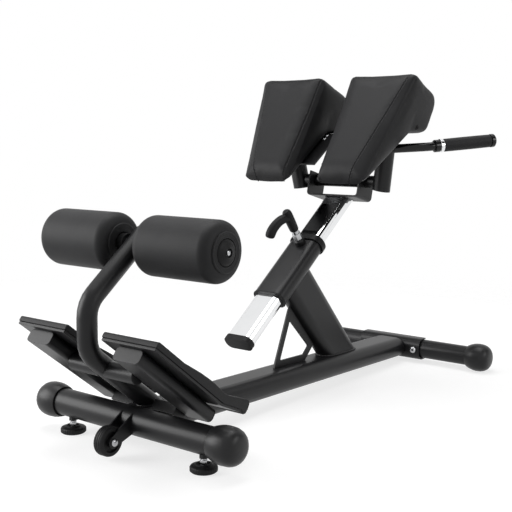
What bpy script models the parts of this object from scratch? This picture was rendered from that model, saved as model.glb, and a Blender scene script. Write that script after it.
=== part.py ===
"""Hyperextension bench: welded steel frame, sliding hip pads and ankle rollers.

Metres, +Z up, +X towards the hip pads, +Y to the user's left. The layout is drawn from the
front cross tube's axis, and one empty carries it to the middle of the footprint.
"""
import math

import bmesh
import bpy
from mathutils import Matrix, Vector

for item in list(bpy.data.objects):
    bpy.data.objects.remove(item, do_unlink=True)

# Clearances
SEAT_GAP = 0.0003        # left at every welded, bolted or pressed seat
SLIDE_GAP = 0.0004       # inner post to its plastic bushes
TURN_GAP = 0.0006        # round a shaft that turns

# Floor frame
WHEELBASE = 1.167        # front cross tube axis to rear cross tube axis
FRONT_TUBE_Z = 0.0685    # height of the front cross tube's axis
CROSS_TUBE_D = 0.0635
REAR_TUBE_D = 0.058
CROSS_TUBE_WALL = 0.003
FRONT_TUBE_HALF = 0.270
REAR_TUBE_HALF = 0.292
END_CAP_D = 0.084
END_CAP_LENGTH = 0.072
END_CAP_LIP = 0.0040     # how far the cap's lip stands off the tube
END_CAP_BORE = 0.034     # how deep the tube goes into the cap
BEAM_WIDTH = 0.112
BEAM_HEIGHT = 0.060
TUBE_WALL = 0.003

# Rear saddle
SADDLE_HALF = 0.106
SADDLE_PLATE = 0.004
SADDLE_BEND = 0.022
SADDLE_BOLT_Y = 0.087
SADDLE_BOLT_D = 0.010

# Column, gusset and guide sleeve
POST_ANGLE = math.radians(37.2)     # the sliding post above the horizontal
POST_AXIS_X = 0.5173                 # a point on the post's axis
POST_AXIS_Z = 0.2955
POST_WIDTH = 0.080
POST_HEIGHT = 0.037
POST_WALL = 0.0025
POST_ROUND = 0.015
BUSH_WALL = 0.0034
SLEEVE_LOW = -0.026                 # sleeve's ends along the axis, from that point
SLEEVE_HIGH = 0.179
BUSH_LENGTH = 0.040
LOWER_LIP = 0.004                   # how far each bush stands out of the sleeve
UPPER_COLLAR = 0.018
LOWER_RIM = 0.0015                  # how far they stand proud of its skin
UPPER_RIM = 0.0045
COLUMN_LONG = 0.120
COLUMN_SHORT = 0.058
COLUMN_LEAN = math.radians(42.9)     # from the vertical
COLUMN_SEAT = 0.078                 # where the column meets the sleeve, along the axis
GUSSET_PLATE = 0.006

# Clamp
CLAMP_ALONG = 0.163                 # the clamp's place along the sleeve
BOSS_D = 0.030
BOSS_HEIGHT = 0.016
SCREW_D = 0.012
CLAMP_PAD_THICK = 0.004
NUT_HEIGHT = 0.030
HANDLE_HUB_D = 0.022
HANDLE_HUB_HEIGHT = 0.068
HANDLE_REACH = 0.088
HANDLE_ARM_D = 0.0205
HANDLE_TURN = math.radians(12)

# Inner post and hip carriage
POST_LOW = -0.178
POST_HIGH = 0.372
BRACKET_X = 0.8181
BRACKET_Z = 0.5284
BRACKET_TILT = math.radians(13.8)
BRACKET_HALF = 0.086
BRACKET_LENGTH = 0.078
BRACKET_RISE = 0.072
BRACKET_PLATE = 0.005
BRACKET_BEND = 0.009
CROSSBAR_D = 0.034
CROSSBAR_RISE = 0.052
PAD_POST_D = 0.050
PAD_POST_WALL = 0.003
PAD_POST_LOW = (0.8283, 0.134, 0.5545)
PAD_POST_LEAN = (-0.112, 0.17, 1.0)
HANDLE_D = 0.024
HANDLE_Z = 0.6704
GRIP_D = 0.035
GRIP_START = (0.9051, 0.2787, 0.6817)
GRIP_LENGTH = 0.146
GRIP_HEADING = (0.811, 0.575, 0.095)
COLLAR_D = 0.037
COLLAR_WIDTH = 0.011

# Hip pads, as an outline seen from the side
PAD_PROFILE = [(0.7914, 0.8752), (0.9504, 0.8153), (0.9237, 0.7156), (0.8304, 0.7126),
               (0.6413, 0.5816), (0.6068, 0.5885)]
PAD_INNER_TOP = 0.040
PAD_INNER_LOW = 0.043
PAD_OUTER_TOP = 0.254
PAD_OUTER_LOW = 0.193
PAD_EDGE = 0.018
PAD_REAR_ROUND = 0.028    # how far back the rear upper corner's rounding starts
PAD_PLATE_THICK = 0.005

# Ankle rollers
ROLLER_X = 0.0103
ROLLER_Z = 0.4635
ROLLER_D = 0.1315
ROLLER_INNER = 0.042
ROLLER_OUTER = 0.2545
ROLLER_SHOULDER = 0.032
AXLE_D = 0.025
HUB_D = 0.034
ARM_D = 0.044

# Footrest
PLATE_SLOPE = math.radians(37.8)
PLATE_TOP = (-0.1368, 0.3009)
PLATE_THICK = 0.020
PLATE_INNER = 0.056
PLATE_OUTER = 0.212
PLATE_FLAT = 0.255
TOE_LENGTH = 0.100
TOE_TURN = math.radians(17)
CHANNEL_INNER = 0.098
CHANNEL_WIDTH = 0.074
CHANNEL_HEIGHT = 0.031
CHANNEL_START = 0.0135
CHANNEL_LENGTH = 0.275
CHANNEL_WALL = 0.0025
CHANNEL_ROUND = 0.010
STUB_D = 0.038

# Levelling feet and transport wheel
FOOT_Y = 0.2054
FOOT_D = 0.060
FOOT_HEIGHT = 0.018
STEM_D = 0.010
FOOT_NUT = 0.017
FOOT_NUT_HEIGHT = 0.008
WHEEL_X = -0.0787
WHEEL_Z = 0.0421
WHEEL_D = 0.066
WHEEL_WIDTH = 0.026
FORK_PLATE = 0.004
AXLE_BOLT_D = 0.010

REAR_TUBE_Z = END_CAP_D / 2.0
EPS = 1e-6

# Collections, the layout's empty and finishes


def new_collection(name):
    collection = bpy.data.collections.new(name)
    bpy.context.scene.collection.children.link(collection)
    return collection


bench = new_collection("hyperextension_bench")
cutters = new_collection("cutters")

layout = bpy.data.objects.new("front_axle_datum", None)
bench.objects.link(layout)

POWDER_COAT = ((0.028, 0.028, 0.030), 0.45, 0.3)
CHROME = ((0.86, 0.87, 0.88), 0.06, 1.0)
ZINC = ((0.72, 0.72, 0.70), 0.25, 1.0)
BLACK_PLASTIC = ((0.022, 0.022, 0.023), 0.5, 0.0)
RUBBER = ((0.025, 0.025, 0.026), 0.8, 0.0)
LEATHERETTE = ((0.045, 0.045, 0.047), 0.6, 0.0)
FOAM = ((0.04, 0.04, 0.042), 0.85, 0.0)


def finish_material(name, finish):
    colour, roughness, metallic = finish
    material = bpy.data.materials.new(name + "_finish")
    material.use_nodes = True
    shader = material.node_tree.nodes["Principled BSDF"]
    shader.inputs["Base Color"].default_value = (*colour, 1.0)
    shader.inputs["Roughness"].default_value = roughness
    shader.inputs["Metallic"].default_value = metallic
    return material


def add_part(name, mesh, finish, pivot=(0.0, 0.0, 0.0), turn=None):
    """Link a mesh as a sub-part, with its origin at the pivot."""
    part = bpy.data.objects.new(name, mesh)
    part.location = pivot
    if turn is not None:
        part.rotation_mode = "QUATERNION"
        part.rotation_quaternion = turn
    part.data.materials.clear()
    part.data.materials.append(finish_material(name, finish))
    bench.objects.link(part)
    part.parent = layout
    return part


def add_bmesh(name, bm, finish, pivot=(0.0, 0.0, 0.0)):
    """Turn a bmesh drawn in layout coordinates into a sub-part with its origin at the pivot."""
    bmesh.ops.remove_doubles(bm, verts=bm.verts, dist=1e-5)
    bmesh.ops.translate(bm, verts=bm.verts, vec=-Vector(pivot))
    mesh = bpy.data.meshes.new(name)
    bm.to_mesh(mesh)
    bm.free()
    mesh.shade_smooth()
    mesh.set_sharp_from_angle(angle=math.radians(35))
    return add_part(name, mesh, finish, pivot)


def cutter_from(name, bm):
    mesh = bpy.data.meshes.new(name)
    bm.to_mesh(mesh)
    bm.free()
    tool = bpy.data.objects.new(name, mesh)
    tool.hide_render = True
    tool.display_type = "WIRE"
    cutters.objects.link(tool)
    tool.parent = layout
    return tool


def cut(part, tool):
    """Cope or drill a part with a cutter."""
    boolean = part.modifiers.new("cut_" + tool.name, "BOOLEAN")
    boolean.operation = "DIFFERENCE"
    boolean.solver = "EXACT"
    boolean.object = tool
    return boolean


def union(part, tool):
    """Weld or press a shape onto a part."""
    boolean = part.modifiers.new("join_" + tool.name, "BOOLEAN")
    boolean.operation = "UNION"
    boolean.solver = "EXACT"
    boolean.object = tool


def frame_matrix(centre, along, side):
    """Placement whose Z runs along, whose X runs to the side."""
    z_axis = Vector(along).normalized()
    y_axis = z_axis.cross(Vector(side)).normalized()
    x_axis = y_axis.cross(z_axis)
    return Matrix.Translation(Vector(centre)) @ Matrix((x_axis, y_axis, z_axis)).transposed().to_4x4()


def rod(bm, start, end, radius, segments=24, end_radius=None):
    """Solid cylinder or cone between two points."""
    start, end = Vector(start), Vector(end)
    axis = end - start
    side = Vector((0, 0, 1)) if abs(axis.normalized().z) < 0.9 else Vector((1, 0, 0))
    place = frame_matrix((start + end) / 2.0, axis, side)
    bmesh.ops.create_cone(bm, cap_ends=True, segments=segments, radius1=radius,
                          radius2=radius if end_radius is None else end_radius,
                          depth=axis.length, matrix=place)
    return bm


def block(bm, centre, size, axes=None):
    """Solid box; axes is a 3x3 matrix whose columns are its directions."""
    turn = Matrix.Identity(4) if axes is None else axes.to_4x4()
    scale = Matrix.Diagonal((*size, 1.0))
    bmesh.ops.create_cube(bm, size=1.0, matrix=Matrix.Translation(Vector(centre)) @ turn @ scale)
    return bm


# Sections and outlines, worked out from widths, heights and radii


def arc_points(centre, radius, start, end, steps):
    return [(centre[0] + radius * math.cos(start + (end - start) * i / steps),
             centre[1] + radius * math.sin(start + (end - start) * i / steps)) for i in range(steps + 1)]


def flat_oval(width, height, steps=8):
    """Stadium section: width along the first axis, round ends of the height."""
    radius = height / 2.0
    reach = width / 2.0 - radius
    right = arc_points((reach, 0.0), radius, -math.pi / 2, math.pi / 2, steps)
    left = arc_points((-reach, 0.0), radius, math.pi / 2, 3 * math.pi / 2, steps)
    return right + left


def round_section(diameter, steps=24):
    return arc_points((0.0, 0.0), diameter / 2.0, 0.0, 2 * math.pi * (steps - 1) / steps, steps - 1)


def rounded_box(width, height, radius, steps=4):
    points = []
    for index, (sx, sy) in enumerate(((1, 1), (-1, 1), (-1, -1), (1, -1))):
        centre = (sx * (width / 2.0 - radius), sy * (height / 2.0 - radius))
        points += arc_points(centre, radius, index * math.pi / 2, (index + 1) * math.pi / 2, steps)
    return points


def round_corners(points, radius, steps=5, closed=False):
    """Replace the corners of a polyline by arcs of one radius."""
    rounded = []
    count = len(points)
    for index, point in enumerate(points):
        here = Vector(point)
        if not closed and index in (0, count - 1):
            rounded.append(tuple(here))
            continue
        before = (Vector(points[index - 1]) - here).normalized()
        after = (Vector(points[(index + 1) % count]) - here).normalized()
        corner = before.angle(after)
        reach = radius / math.tan(corner / 2.0)
        centre = here + (before + after).normalized() * (radius / math.sin(corner / 2.0))
        first = here + before * reach - centre
        last = here + after * reach - centre
        start = math.atan2(first.y, first.x)
        sweep = math.copysign(math.pi - corner, first.cross(last))
        rounded += arc_points(centre, radius, start, start + sweep, steps)
    return rounded


def strip_outline(path, thickness):
    """Outline of a bent sheet that follows a centreline."""
    left, right = [], []
    for index, point in enumerate(path):
        here = Vector(point)
        before = Vector(path[max(index - 1, 0)])
        after = Vector(path[min(index + 1, len(path) - 1)])
        run_in = (here - before).normalized() if index else (after - here).normalized()
        run_out = (after - here).normalized() if index < len(path) - 1 else run_in
        normal_in = Vector((-run_in.y, run_in.x))
        normal_out = Vector((-run_out.y, run_out.x))
        normal = (normal_in + normal_out).normalized()
        offset = normal * (thickness / 2.0 / max(normal.dot(normal_in), 0.3))
        left.append(tuple(here + offset))
        right.append(tuple(here - offset))
    return left + right[::-1]


# Makers: swept tubes, turned pieces and cut plate


def swept(section, start, heading, side, runs):
    """Ring of edges drawn through straight runs and bends, as tube is bent on a former."""
    bm = bmesh.new()
    heading = Vector(heading).normalized()
    side = Vector(side).normalized()
    up = heading.cross(side)
    centre = Vector(start)
    ring = bmesh.ops.create_circle(bm, segments=len(section), radius=1.0)["verts"]
    for vert, (a, b) in zip(ring, section):
        vert.co = centre + side * a + up * b
    edges = list(bm.edges)
    for run in runs:
        if run[0] == "straight":
            grown = bmesh.ops.extrude_edge_only(bm, edges=edges)["geom"]
            verts = [g for g in grown if isinstance(g, bmesh.types.BMVert)]
            bmesh.ops.translate(bm, verts=verts, vec=heading * run[1])
            edges = [g for g in grown if isinstance(g, bmesh.types.BMEdge)]
            centre = centre + heading * run[1]
        else:
            _, axis, angle, radius = run
            axis = Vector(axis).normalized()
            pivot = centre + axis.cross(heading) * radius
            steps = max(3, round(angle / math.radians(12)))
            last = bmesh.ops.spin(bm, geom=edges, cent=pivot, axis=axis, angle=angle, steps=steps)["geom_last"]
            edges = [g for g in last if isinstance(g, bmesh.types.BMEdge)]
            turn = Matrix.Rotation(angle, 3, axis)
            centre = pivot + turn @ (centre - pivot)
            heading = turn @ heading
    return bm, centre, heading


def close_ends(bm):
    open_edges = [edge for edge in bm.edges if edge.is_boundary]
    bmesh.ops.holes_fill(bm, edges=open_edges, sides=0)
    bmesh.ops.recalc_face_normals(bm, faces=bm.faces)
    return bm


def tube(name, section, start, heading, side, runs, wall, finish=POWDER_COAT, floor=False):
    """Hollow tube: a swept skin with its wall turned inwards; its start may be closed by a floor."""
    bm, _, _ = swept(section, start, heading, side, runs)
    if floor:
        plane = Vector(heading).normalized()
        ring = [edge for edge in bm.edges if all(abs((v.co - Vector(start)).dot(plane)) < 20 * EPS for v in edge.verts)]
        bmesh.ops.holes_fill(bm, edges=ring, sides=0)
    bmesh.ops.recalc_face_normals(bm, faces=bm.faces)
    part = add_bmesh(name, bm, finish)
    shell = part.modifiers.new("wall", "SOLIDIFY")
    shell.thickness = wall
    shell.offset = -1.0
    shell.use_even_offset = True
    return part


def bar(name, section, start, heading, side, runs, finish=POWDER_COAT, pivot=(0.0, 0.0, 0.0)):
    """Solid bar along the same kind of path."""
    bm, _, _ = swept(section, start, heading, side, runs)
    return add_bmesh(name, close_ends(bm), finish, pivot)


def dome(diameter, base, height):
    """Half section of a low domed head, from its top to its rim."""
    radius = diameter / 2.0
    return [(radius * math.sin(math.pi / 2 * i / 4), base + height * (0.35 + 0.65 * math.cos(math.pi / 2 * i / 4)))
            for i in range(5)]


def turned(name, profile, centre, axis, finish, steps=32, ring=False):
    """Profile of (radius, height) turned about an axis through the centre."""
    mesh = bpy.data.meshes.new(name)
    edges = [(i, i + 1) for i in range(len(profile) - 1)]
    if ring:
        edges.append((len(profile) - 1, 0))
    mesh.from_pydata([(radius, 0.0, height) for radius, height in profile], edges, [])
    turn = Vector((0, 0, 1)).rotation_difference(Vector(axis))
    part = add_part(name, mesh, finish, centre, turn)
    screw = part.modifiers.new("turn", "SCREW")
    screw.axis = "Z"
    screw.angle = 2 * math.pi
    screw.steps = steps
    screw.render_steps = steps
    screw.use_merge_vertices = True
    screw.merge_threshold = 0.00001
    screw.use_smooth_shade = True
    return part


def turned_solids(name, profile, places, steps=16):
    """Like fasteners as one joining shape: the same profile turned about each place's own axis."""
    group = bmesh.new()
    for place, axis in places:
        turn = Vector((0, 0, 1)).rotation_difference(Vector(axis)).to_matrix().to_4x4()
        single = bmesh.new()
        verts = [single.verts.new((radius, 0.0, height)) for radius, height in profile]
        edges = [single.edges.new((verts[i], verts[i + 1])) for i in range(len(verts) - 1)]
        bmesh.ops.spin(single, geom=verts + edges, cent=(0, 0, 0), axis=(0, 0, 1), angle=2 * math.pi,
                       steps=steps, use_merge=True)
        bmesh.ops.remove_doubles(single, verts=single.verts, dist=EPS)
        bmesh.ops.recalc_face_normals(single, faces=single.faces)
        bmesh.ops.transform(single, verts=single.verts, matrix=Matrix.Translation(Vector(place)) @ turn)
        mesh = bpy.data.meshes.new("single")
        single.to_mesh(mesh)
        single.free()
        group.from_mesh(mesh)
        bpy.data.meshes.remove(mesh)
    return cutter_from(name, group)


def plate_mesh(name, outlines, thickness):
    """Flat outline, with holes, filled and given its thickness either side of its plane."""
    curve = bpy.data.curves.new(name, "CURVE")
    curve.dimensions = "2D"
    curve.fill_mode = "BOTH"
    curve.extrude = thickness / 2.0
    for outline in outlines:
        spline = curve.splines.new("POLY")
        spline.points.add(len(outline) - 1)
        for point, (x, y) in zip(spline.points, outline):
            point.co = (x, y, 0.0, 1.0)
        spline.use_cyclic_u = True
    holder = bpy.data.objects.new(name, curve)
    bench.objects.link(holder)
    depsgraph = bpy.context.evaluated_depsgraph_get()
    mesh = bpy.data.meshes.new_from_object(holder.evaluated_get(depsgraph))
    bpy.data.objects.remove(holder, do_unlink=True)
    bpy.data.curves.remove(curve)
    bm = bmesh.new()
    bm.from_mesh(mesh)
    bmesh.ops.remove_doubles(bm, verts=bm.verts, dist=1e-5)
    bmesh.ops.recalc_face_normals(bm, faces=bm.faces)
    bm.to_mesh(mesh)
    bm.free()
    return mesh


SIDE_PLANE = Matrix.Rotation(math.pi / 2, 3, "X").to_quaternion()     # outline X and Z, thickness Y
FRONT_PLANE = Matrix(((0, 0, 1), (1, 0, 0), (0, 1, 0))).to_quaternion()    # outline Y and Z, thickness X


def plate(name, outlines, thickness, centre, turn, finish=POWDER_COAT):
    return add_part(name, plate_mesh(name, outlines, thickness), finish, centre, turn)


SIDES = (("left", 1.0), ("right", -1.0))


# Front stabiliser: a round cross tube with bulged end caps


def end_cap_profile(tube_d):
    """Half section of a moulded cap: bulged barrel, domed face and a bore for the tube."""
    bore = tube_d / 2.0 + SEAT_GAP
    lip = tube_d / 2.0 + END_CAP_LIP
    belly = END_CAP_D / 2.0
    middle = END_CAP_LENGTH * 0.45
    points = [(0.0, END_CAP_LENGTH)]
    for step in range(1, 7):
        angle = math.pi / 2 * step / 6
        radius = belly * math.sin(angle) ** 0.62
        points.append((radius, middle + (END_CAP_LENGTH - middle) * math.cos(angle) ** 0.80))
    for step in range(1, 4):
        share = step / 3
        points.append((belly - (belly - lip) * share ** 2, middle * (1 - share)))
    points += [(bore, 0.0), (bore, END_CAP_BORE), (0.0, END_CAP_BORE)]
    return points


def stabiliser(prefix, x, z, half, tube_d):
    cross_tube = tube(prefix + "_cross_tube", round_section(tube_d, 28), (x, -half, z), (0, 1, 0),
                      (1, 0, 0), [("straight", 2 * half)], CROSS_TUBE_WALL)
    for word, sign in SIDES:
        seat = half + SEAT_GAP - END_CAP_BORE
        turned(prefix + "_end_cap_" + word, end_cap_profile(tube_d), (x, sign * seat, z), (0, sign, 0),
               BLACK_PLASTIC, steps=24)
    return cross_tube


front_tube = stabiliser("front", 0.0, FRONT_TUBE_Z, FRONT_TUBE_HALF, CROSS_TUBE_D)
rear_tube = stabiliser("rear", WHEELBASE, REAR_TUBE_Z, REAR_TUBE_HALF, REAR_TUBE_D)


def tube_cope(name, x, z, diameter):
    bm = bmesh.new()
    rod(bm, (x, -0.2, z), (x, 0.2, z), diameter / 2.0 + SEAT_GAP, 32)
    return cutter_from(name, bm)


front_cope = tube_cope("front_tube_cope", 0.0, FRONT_TUBE_Z, CROSS_TUBE_D)

# Levelling feet: a hex nut welded into the tube's underside, a threaded stem and a moulded pad

nut_bm = bmesh.new()
stem_bore_bm = bmesh.new()
nut_top = FRONT_TUBE_Z - CROSS_TUBE_D / 2.0 + CROSS_TUBE_WALL
nut_base = FRONT_TUBE_Z - CROSS_TUBE_D / 2.0 - FOOT_NUT_HEIGHT
for _, sign in SIDES:
    rod(nut_bm, (0, sign * FOOT_Y, nut_base), (0, sign * FOOT_Y, nut_top), FOOT_NUT / 2 / math.cos(math.pi / 6), 6)
    rod(stem_bore_bm, (0, sign * FOOT_Y, 0.0), (0, sign * FOOT_Y, FRONT_TUBE_Z), STEM_D / 2 + TURN_GAP, 24)
union(front_tube, cutter_from("foot_weld_nuts", nut_bm))
cut(front_tube, cutter_from("stem_bores", stem_bore_bm))


STEM_TOP = FRONT_TUBE_Z + 0.006
SOCKET_D = 0.020
SOCKET_FLOOR = 0.009


def foot_pad_profile():
    """Cleated pad: a socket in its top for the stem's flange, a sloped shoulder and a flat sole."""
    half = FOOT_D / 2.0
    return [(0.0, SOCKET_FLOOR), (SOCKET_D / 2, SOCKET_FLOOR), (SOCKET_D / 2, FOOT_HEIGHT),
            (SOCKET_D / 2 + 0.004, FOOT_HEIGHT), (half - 0.004, FOOT_HEIGHT - 0.004), (half, FOOT_HEIGHT - 0.007),
            (half, 0.002), (half - 0.002, 0.0), (0.0, 0.0)]


def stem_profile():
    """Levelling screw: thread, and a flange that turns in the pad's socket."""
    radius = STEM_D / 2.0
    flange = SOCKET_D / 2.0 - TURN_GAP
    low = SOCKET_FLOOR + SEAT_GAP
    return [(0.0, STEM_TOP), (radius - 0.001, STEM_TOP), (radius, STEM_TOP - 0.001), (radius, low + 0.005),
            (flange, low + 0.004), (flange, low), (0.0, low)]


def stem_hex(word, sign):
    """Spanner flats on the levelling screw, just above its pad."""
    bm = bmesh.new()
    low = FOOT_HEIGHT + 0.001
    rod(bm, (0, sign * FOOT_Y, low), (0, sign * FOOT_Y, low + 0.006), 0.0085, 6)
    return cutter_from("stem_hex_" + word, bm)


for word, sign in SIDES:
    foot_place = (0, sign * FOOT_Y, 0.0)
    pad = turned("foot_pad_" + word, foot_pad_profile(), foot_place, (0, 0, 1), RUBBER, steps=24)
    stem = turned("foot_stem_" + word, stem_profile(), foot_place, (0, 0, 1), ZINC, steps=16)
    union(stem, stem_hex(word, sign))

# Transport wheel in a fork of two plates on the front tube

WHEEL_PIVOT = (WHEEL_X, 0.0, WHEEL_Z)
WHEEL_BORE = AXLE_BOLT_D / 2.0 + TURN_GAP
FORK_GAP = WHEEL_WIDTH + 2 * 0.0015


def wheel_profile():
    """Moulded wheel: crowned, grooved tread, recessed web and a hub that reaches the fork."""
    half = WHEEL_WIDTH / 2.0
    rim = WHEEL_D / 2.0
    hub = 0.012
    hub_half = half + 0.0009
    web = half - 0.006
    return [(hub, hub_half), (hub, web), (rim - 0.010, web), (rim - 0.010, half), (rim - 0.003, half),
            (rim, half - 0.004), (rim, 0.002), (rim - 0.002, 0.0), (rim, -0.002), (rim, -half + 0.004),
            (rim - 0.003, -half), (rim - 0.010, -half), (rim - 0.010, -web), (hub, -web), (hub, -hub_half),
            (WHEEL_BORE, -hub_half), (WHEEL_BORE, hub_half)]


turned("transport_wheel", wheel_profile(), WHEEL_PIVOT, (0, 1, 0), RUBBER, steps=24, ring=True)


def fork_outline():
    """Plate from the tube's upper front quarter down round the wheel bolt."""
    weld_radius = CROSS_TUBE_D / 2.0
    top = (weld_radius * math.cos(math.radians(118)), FRONT_TUBE_Z + weld_radius * math.sin(math.radians(118)))
    low = (weld_radius * math.cos(math.radians(222)), FRONT_TUBE_Z + weld_radius * math.sin(math.radians(222)))
    inside = (0.0, FRONT_TUBE_Z)
    boss = 0.0135
    run = math.atan2(WHEEL_Z - top[1], WHEEL_X - top[0])
    nose = arc_points((WHEEL_X, WHEEL_Z), boss, run + math.pi / 2, run - math.pi / 2, 12)
    return [inside, low] + nose + [top]


fork_drill_bm = bmesh.new()
rod(fork_drill_bm, (WHEEL_X, -0.05, WHEEL_Z), (WHEEL_X, 0.05, WHEEL_Z), AXLE_BOLT_D / 2 + SEAT_GAP, 24)
fork_drill = cutter_from("fork_drill", fork_drill_bm)
for word, sign in SIDES:
    fork = plate("wheel_fork_" + word, [fork_outline()], FORK_PLATE, (0, sign * (FORK_GAP + FORK_PLATE) / 2.0, 0),
                 SIDE_PLANE)
    cut(fork, front_cope)
    cut(fork, fork_drill)


def bolt_profile(shank, head_d, head_h, length):
    """Dome-headed bolt with a nut, head at +Z, both standing a seat gap off the plates they clamp."""
    half = length / 2.0 + SEAT_GAP
    head = dome(head_d, half, head_h)
    return head + [(head_d / 2, half), (shank / 2, half), (shank / 2, -half), (head_d / 2, -half),
                   (head_d / 2, -half - head_h), (shank / 2, -half - head_h), (shank / 2, -half - head_h - 0.003),
                   (0.0, -half - head_h - 0.003)]


turned("wheel_bolt", bolt_profile(AXLE_BOLT_D, 0.017, 0.006, FORK_GAP + 2 * FORK_PLATE), WHEEL_PIVOT, (0, -1, 0),
       ZINC, steps=14)

# Main beam: flat-oval tube sloping from the front tube to the saddle on the rear tube

beam_vector = Vector((WHEELBASE, 0.0, REAR_TUBE_Z - FRONT_TUBE_Z)).normalized()
beam_up = Vector((-beam_vector.z, 0.0, beam_vector.x))


def beam_point(x, height=0.0):
    """Point on the beam's axis, or at a height square to it."""
    share = x / WHEELBASE
    centre = Vector((x, 0.0, FRONT_TUBE_Z + (REAR_TUBE_Z - FRONT_TUBE_Z) * share))
    return centre + beam_up * height


SADDLE_INNER = REAR_TUBE_D / 2.0 + SEAT_GAP
SADDLE_OUTER = SADDLE_INNER + SADDLE_PLATE
saddle_front_x = WHEELBASE - SADDLE_OUTER
main_beam = tube("main_beam", flat_oval(BEAM_WIDTH, BEAM_HEIGHT), beam_point(0.0), beam_vector, (0, 1, 0),
                 [("straight", saddle_front_x - SEAT_GAP)], TUBE_WALL)
cut(main_beam, front_cope)
beam_end_bm = bmesh.new()
block(beam_end_bm, (WHEELBASE, 0, REAR_TUBE_Z), (2 * (SADDLE_OUTER + SEAT_GAP), 0.3, 0.2))
cut(main_beam, cutter_from("beam_end", beam_end_bm))

# Rear saddle: plate bent to a U round the rear tube, welded to the beam, with its two bolts


def saddle_path():
    reach = SADDLE_INNER + SADDLE_PLATE / 2.0
    lip = 0.012
    corners = [(lip, reach), (-reach, reach), (-reach, -reach), (lip, -reach)]
    return round_corners(corners, SADDLE_BEND, steps=8)


saddle = plate("rear_saddle", [strip_outline(saddle_path(), SADDLE_PLATE)], 2 * SADDLE_HALF,
               (WHEELBASE, 0, REAR_TUBE_Z), SIDE_PLANE)
saddle_drill_bm = bmesh.new()
for _, sign in SIDES:
    y = sign * SADDLE_BOLT_Y
    rod(saddle_drill_bm, (WHEELBASE - 0.08, y, REAR_TUBE_Z), (WHEELBASE, y, REAR_TUBE_Z),
        SADDLE_BOLT_D / 2 + SEAT_GAP, 20)
saddle_drill = cutter_from("saddle_drill", saddle_drill_bm)
cut(rear_tube, saddle_drill)


def cap_screw_profile(shank, head_d, head_h, grip):
    """Screw whose head bites the plate it holds and whose shank runs down by the grip."""
    return dome(head_d, 0.0, head_h) + [(head_d / 2, -SEAT_GAP), (shank / 2, -SEAT_GAP), (shank / 2, -grip),
                                        (0.0, -grip)]


saddle_bolts = turned_solids("saddle_bolts", cap_screw_profile(SADDLE_BOLT_D, 0.019, 0.007, 0.026),
                             [((WHEELBASE - SADDLE_OUTER, sign * SADDLE_BOLT_Y, REAR_TUBE_Z), (-1, 0, 0))
                              for _, sign in SIDES])
union(saddle, saddle_bolts)

# Guide sleeve and column: the sleeve lies on the column's squared end

axis_vector = Vector((math.cos(POST_ANGLE), 0.0, math.sin(POST_ANGLE)))
axis_up = Vector((-math.sin(POST_ANGLE), 0.0, math.cos(POST_ANGLE)))
AXIS_ORIGIN = Vector((POST_AXIS_X, 0.0, POST_AXIS_Z))


def on_axis(along, height=0.0, y=0.0):
    """Point at a distance along the sliding post's axis and a height square to it."""
    return AXIS_ORIGIN + axis_vector * along + axis_up * height + Vector((0, y, 0))




def post_section(grown):
    """The inner post's rounded section, grown outwards by a margin."""
    return rounded_box(POST_WIDTH + 2 * grown, POST_HEIGHT + 2 * grown, POST_ROUND + grown)


SLEEVE_SKIN = SLIDE_GAP + BUSH_WALL + SEAT_GAP + TUBE_WALL
sleeve = tube("guide_sleeve", post_section(SLEEVE_SKIN), on_axis(SLEEVE_LOW), axis_vector, (0, 1, 0),
              [("straight", SLEEVE_HIGH - SLEEVE_LOW)], TUBE_WALL)


def sleeve_bush(name, end, direction, stands_out, rim):
    """Plastic bush: a thin liner inside the sleeve and a collar that closes its end."""
    inner = post_section(SLIDE_GAP)
    liner = post_section(SLIDE_GAP + BUSH_WALL)
    flange = post_section(SLEEVE_SKIN + rim)
    outward = axis_vector * direction
    mouth = on_axis(end) + outward * SEAT_GAP
    bm, _, _ = swept(liner, mouth - outward * BUSH_LENGTH, outward, (0, 1, 0),
                     [("straight", BUSH_LENGTH + stands_out)])
    bush = add_bmesh(name, close_ends(bm), BLACK_PLASTIC)
    bm, _, _ = swept(flange, mouth, outward, (0, 1, 0), [("straight", stands_out)])
    union(bush, cutter_from(name + "_flange", close_ends(bm)))
    bm, _, _ = swept(inner, mouth - outward * (BUSH_LENGTH + 0.01), outward, (0, 1, 0),
                     [("straight", BUSH_LENGTH + stands_out + 0.02)])
    cut(bush, cutter_from(name + "_bore", close_ends(bm)))
    return bush


lower_bush = sleeve_bush("sleeve_bush_lower", SLEEVE_LOW, -1.0, LOWER_LIP, LOWER_RIM)
upper_bush = sleeve_bush("sleeve_bush_upper", SLEEVE_HIGH, 1.0, UPPER_COLLAR, UPPER_RIM)

sleeve_under = -POST_HEIGHT / 2.0 - SLEEVE_SKIN - SEAT_GAP
column_top = on_axis(COLUMN_SEAT, sleeve_under)
column_heading = Vector((math.sin(COLUMN_LEAN), 0.0, -math.cos(COLUMN_LEAN)))
column_side = Vector((math.cos(COLUMN_LEAN), 0.0, math.sin(COLUMN_LEAN)))
column = tube("upright_column", flat_oval(COLUMN_LONG, COLUMN_SHORT), column_top - column_heading * 0.03, column_heading,
              column_side, [("straight", 0.440)], TUBE_WALL)
sleeve_axes = Matrix((axis_vector, Vector((0, 1, 0)), axis_up)).transposed()
over_column_bm = bmesh.new()
block(over_column_bm, on_axis(COLUMN_SEAT, sleeve_under + 0.1), (0.5, 0.3, 0.2), sleeve_axes)
cut(column, cutter_from("sleeve_under_plane", over_column_bm))
below_beam_bm = bmesh.new()
beam_turn = Matrix((beam_vector, Vector((0, 1, 0)), beam_up)).transposed()
block(below_beam_bm, beam_point(WHEELBASE / 2, BEAM_HEIGHT / 2 + SEAT_GAP - 0.2), (2.0, 0.4, 0.4), beam_turn)
below_beam = cutter_from("beam_top_plane", below_beam_bm)
cut(column, below_beam)

# Gusset: cut plate with a triangular window and an open notch, in the corner of column and beam

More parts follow.
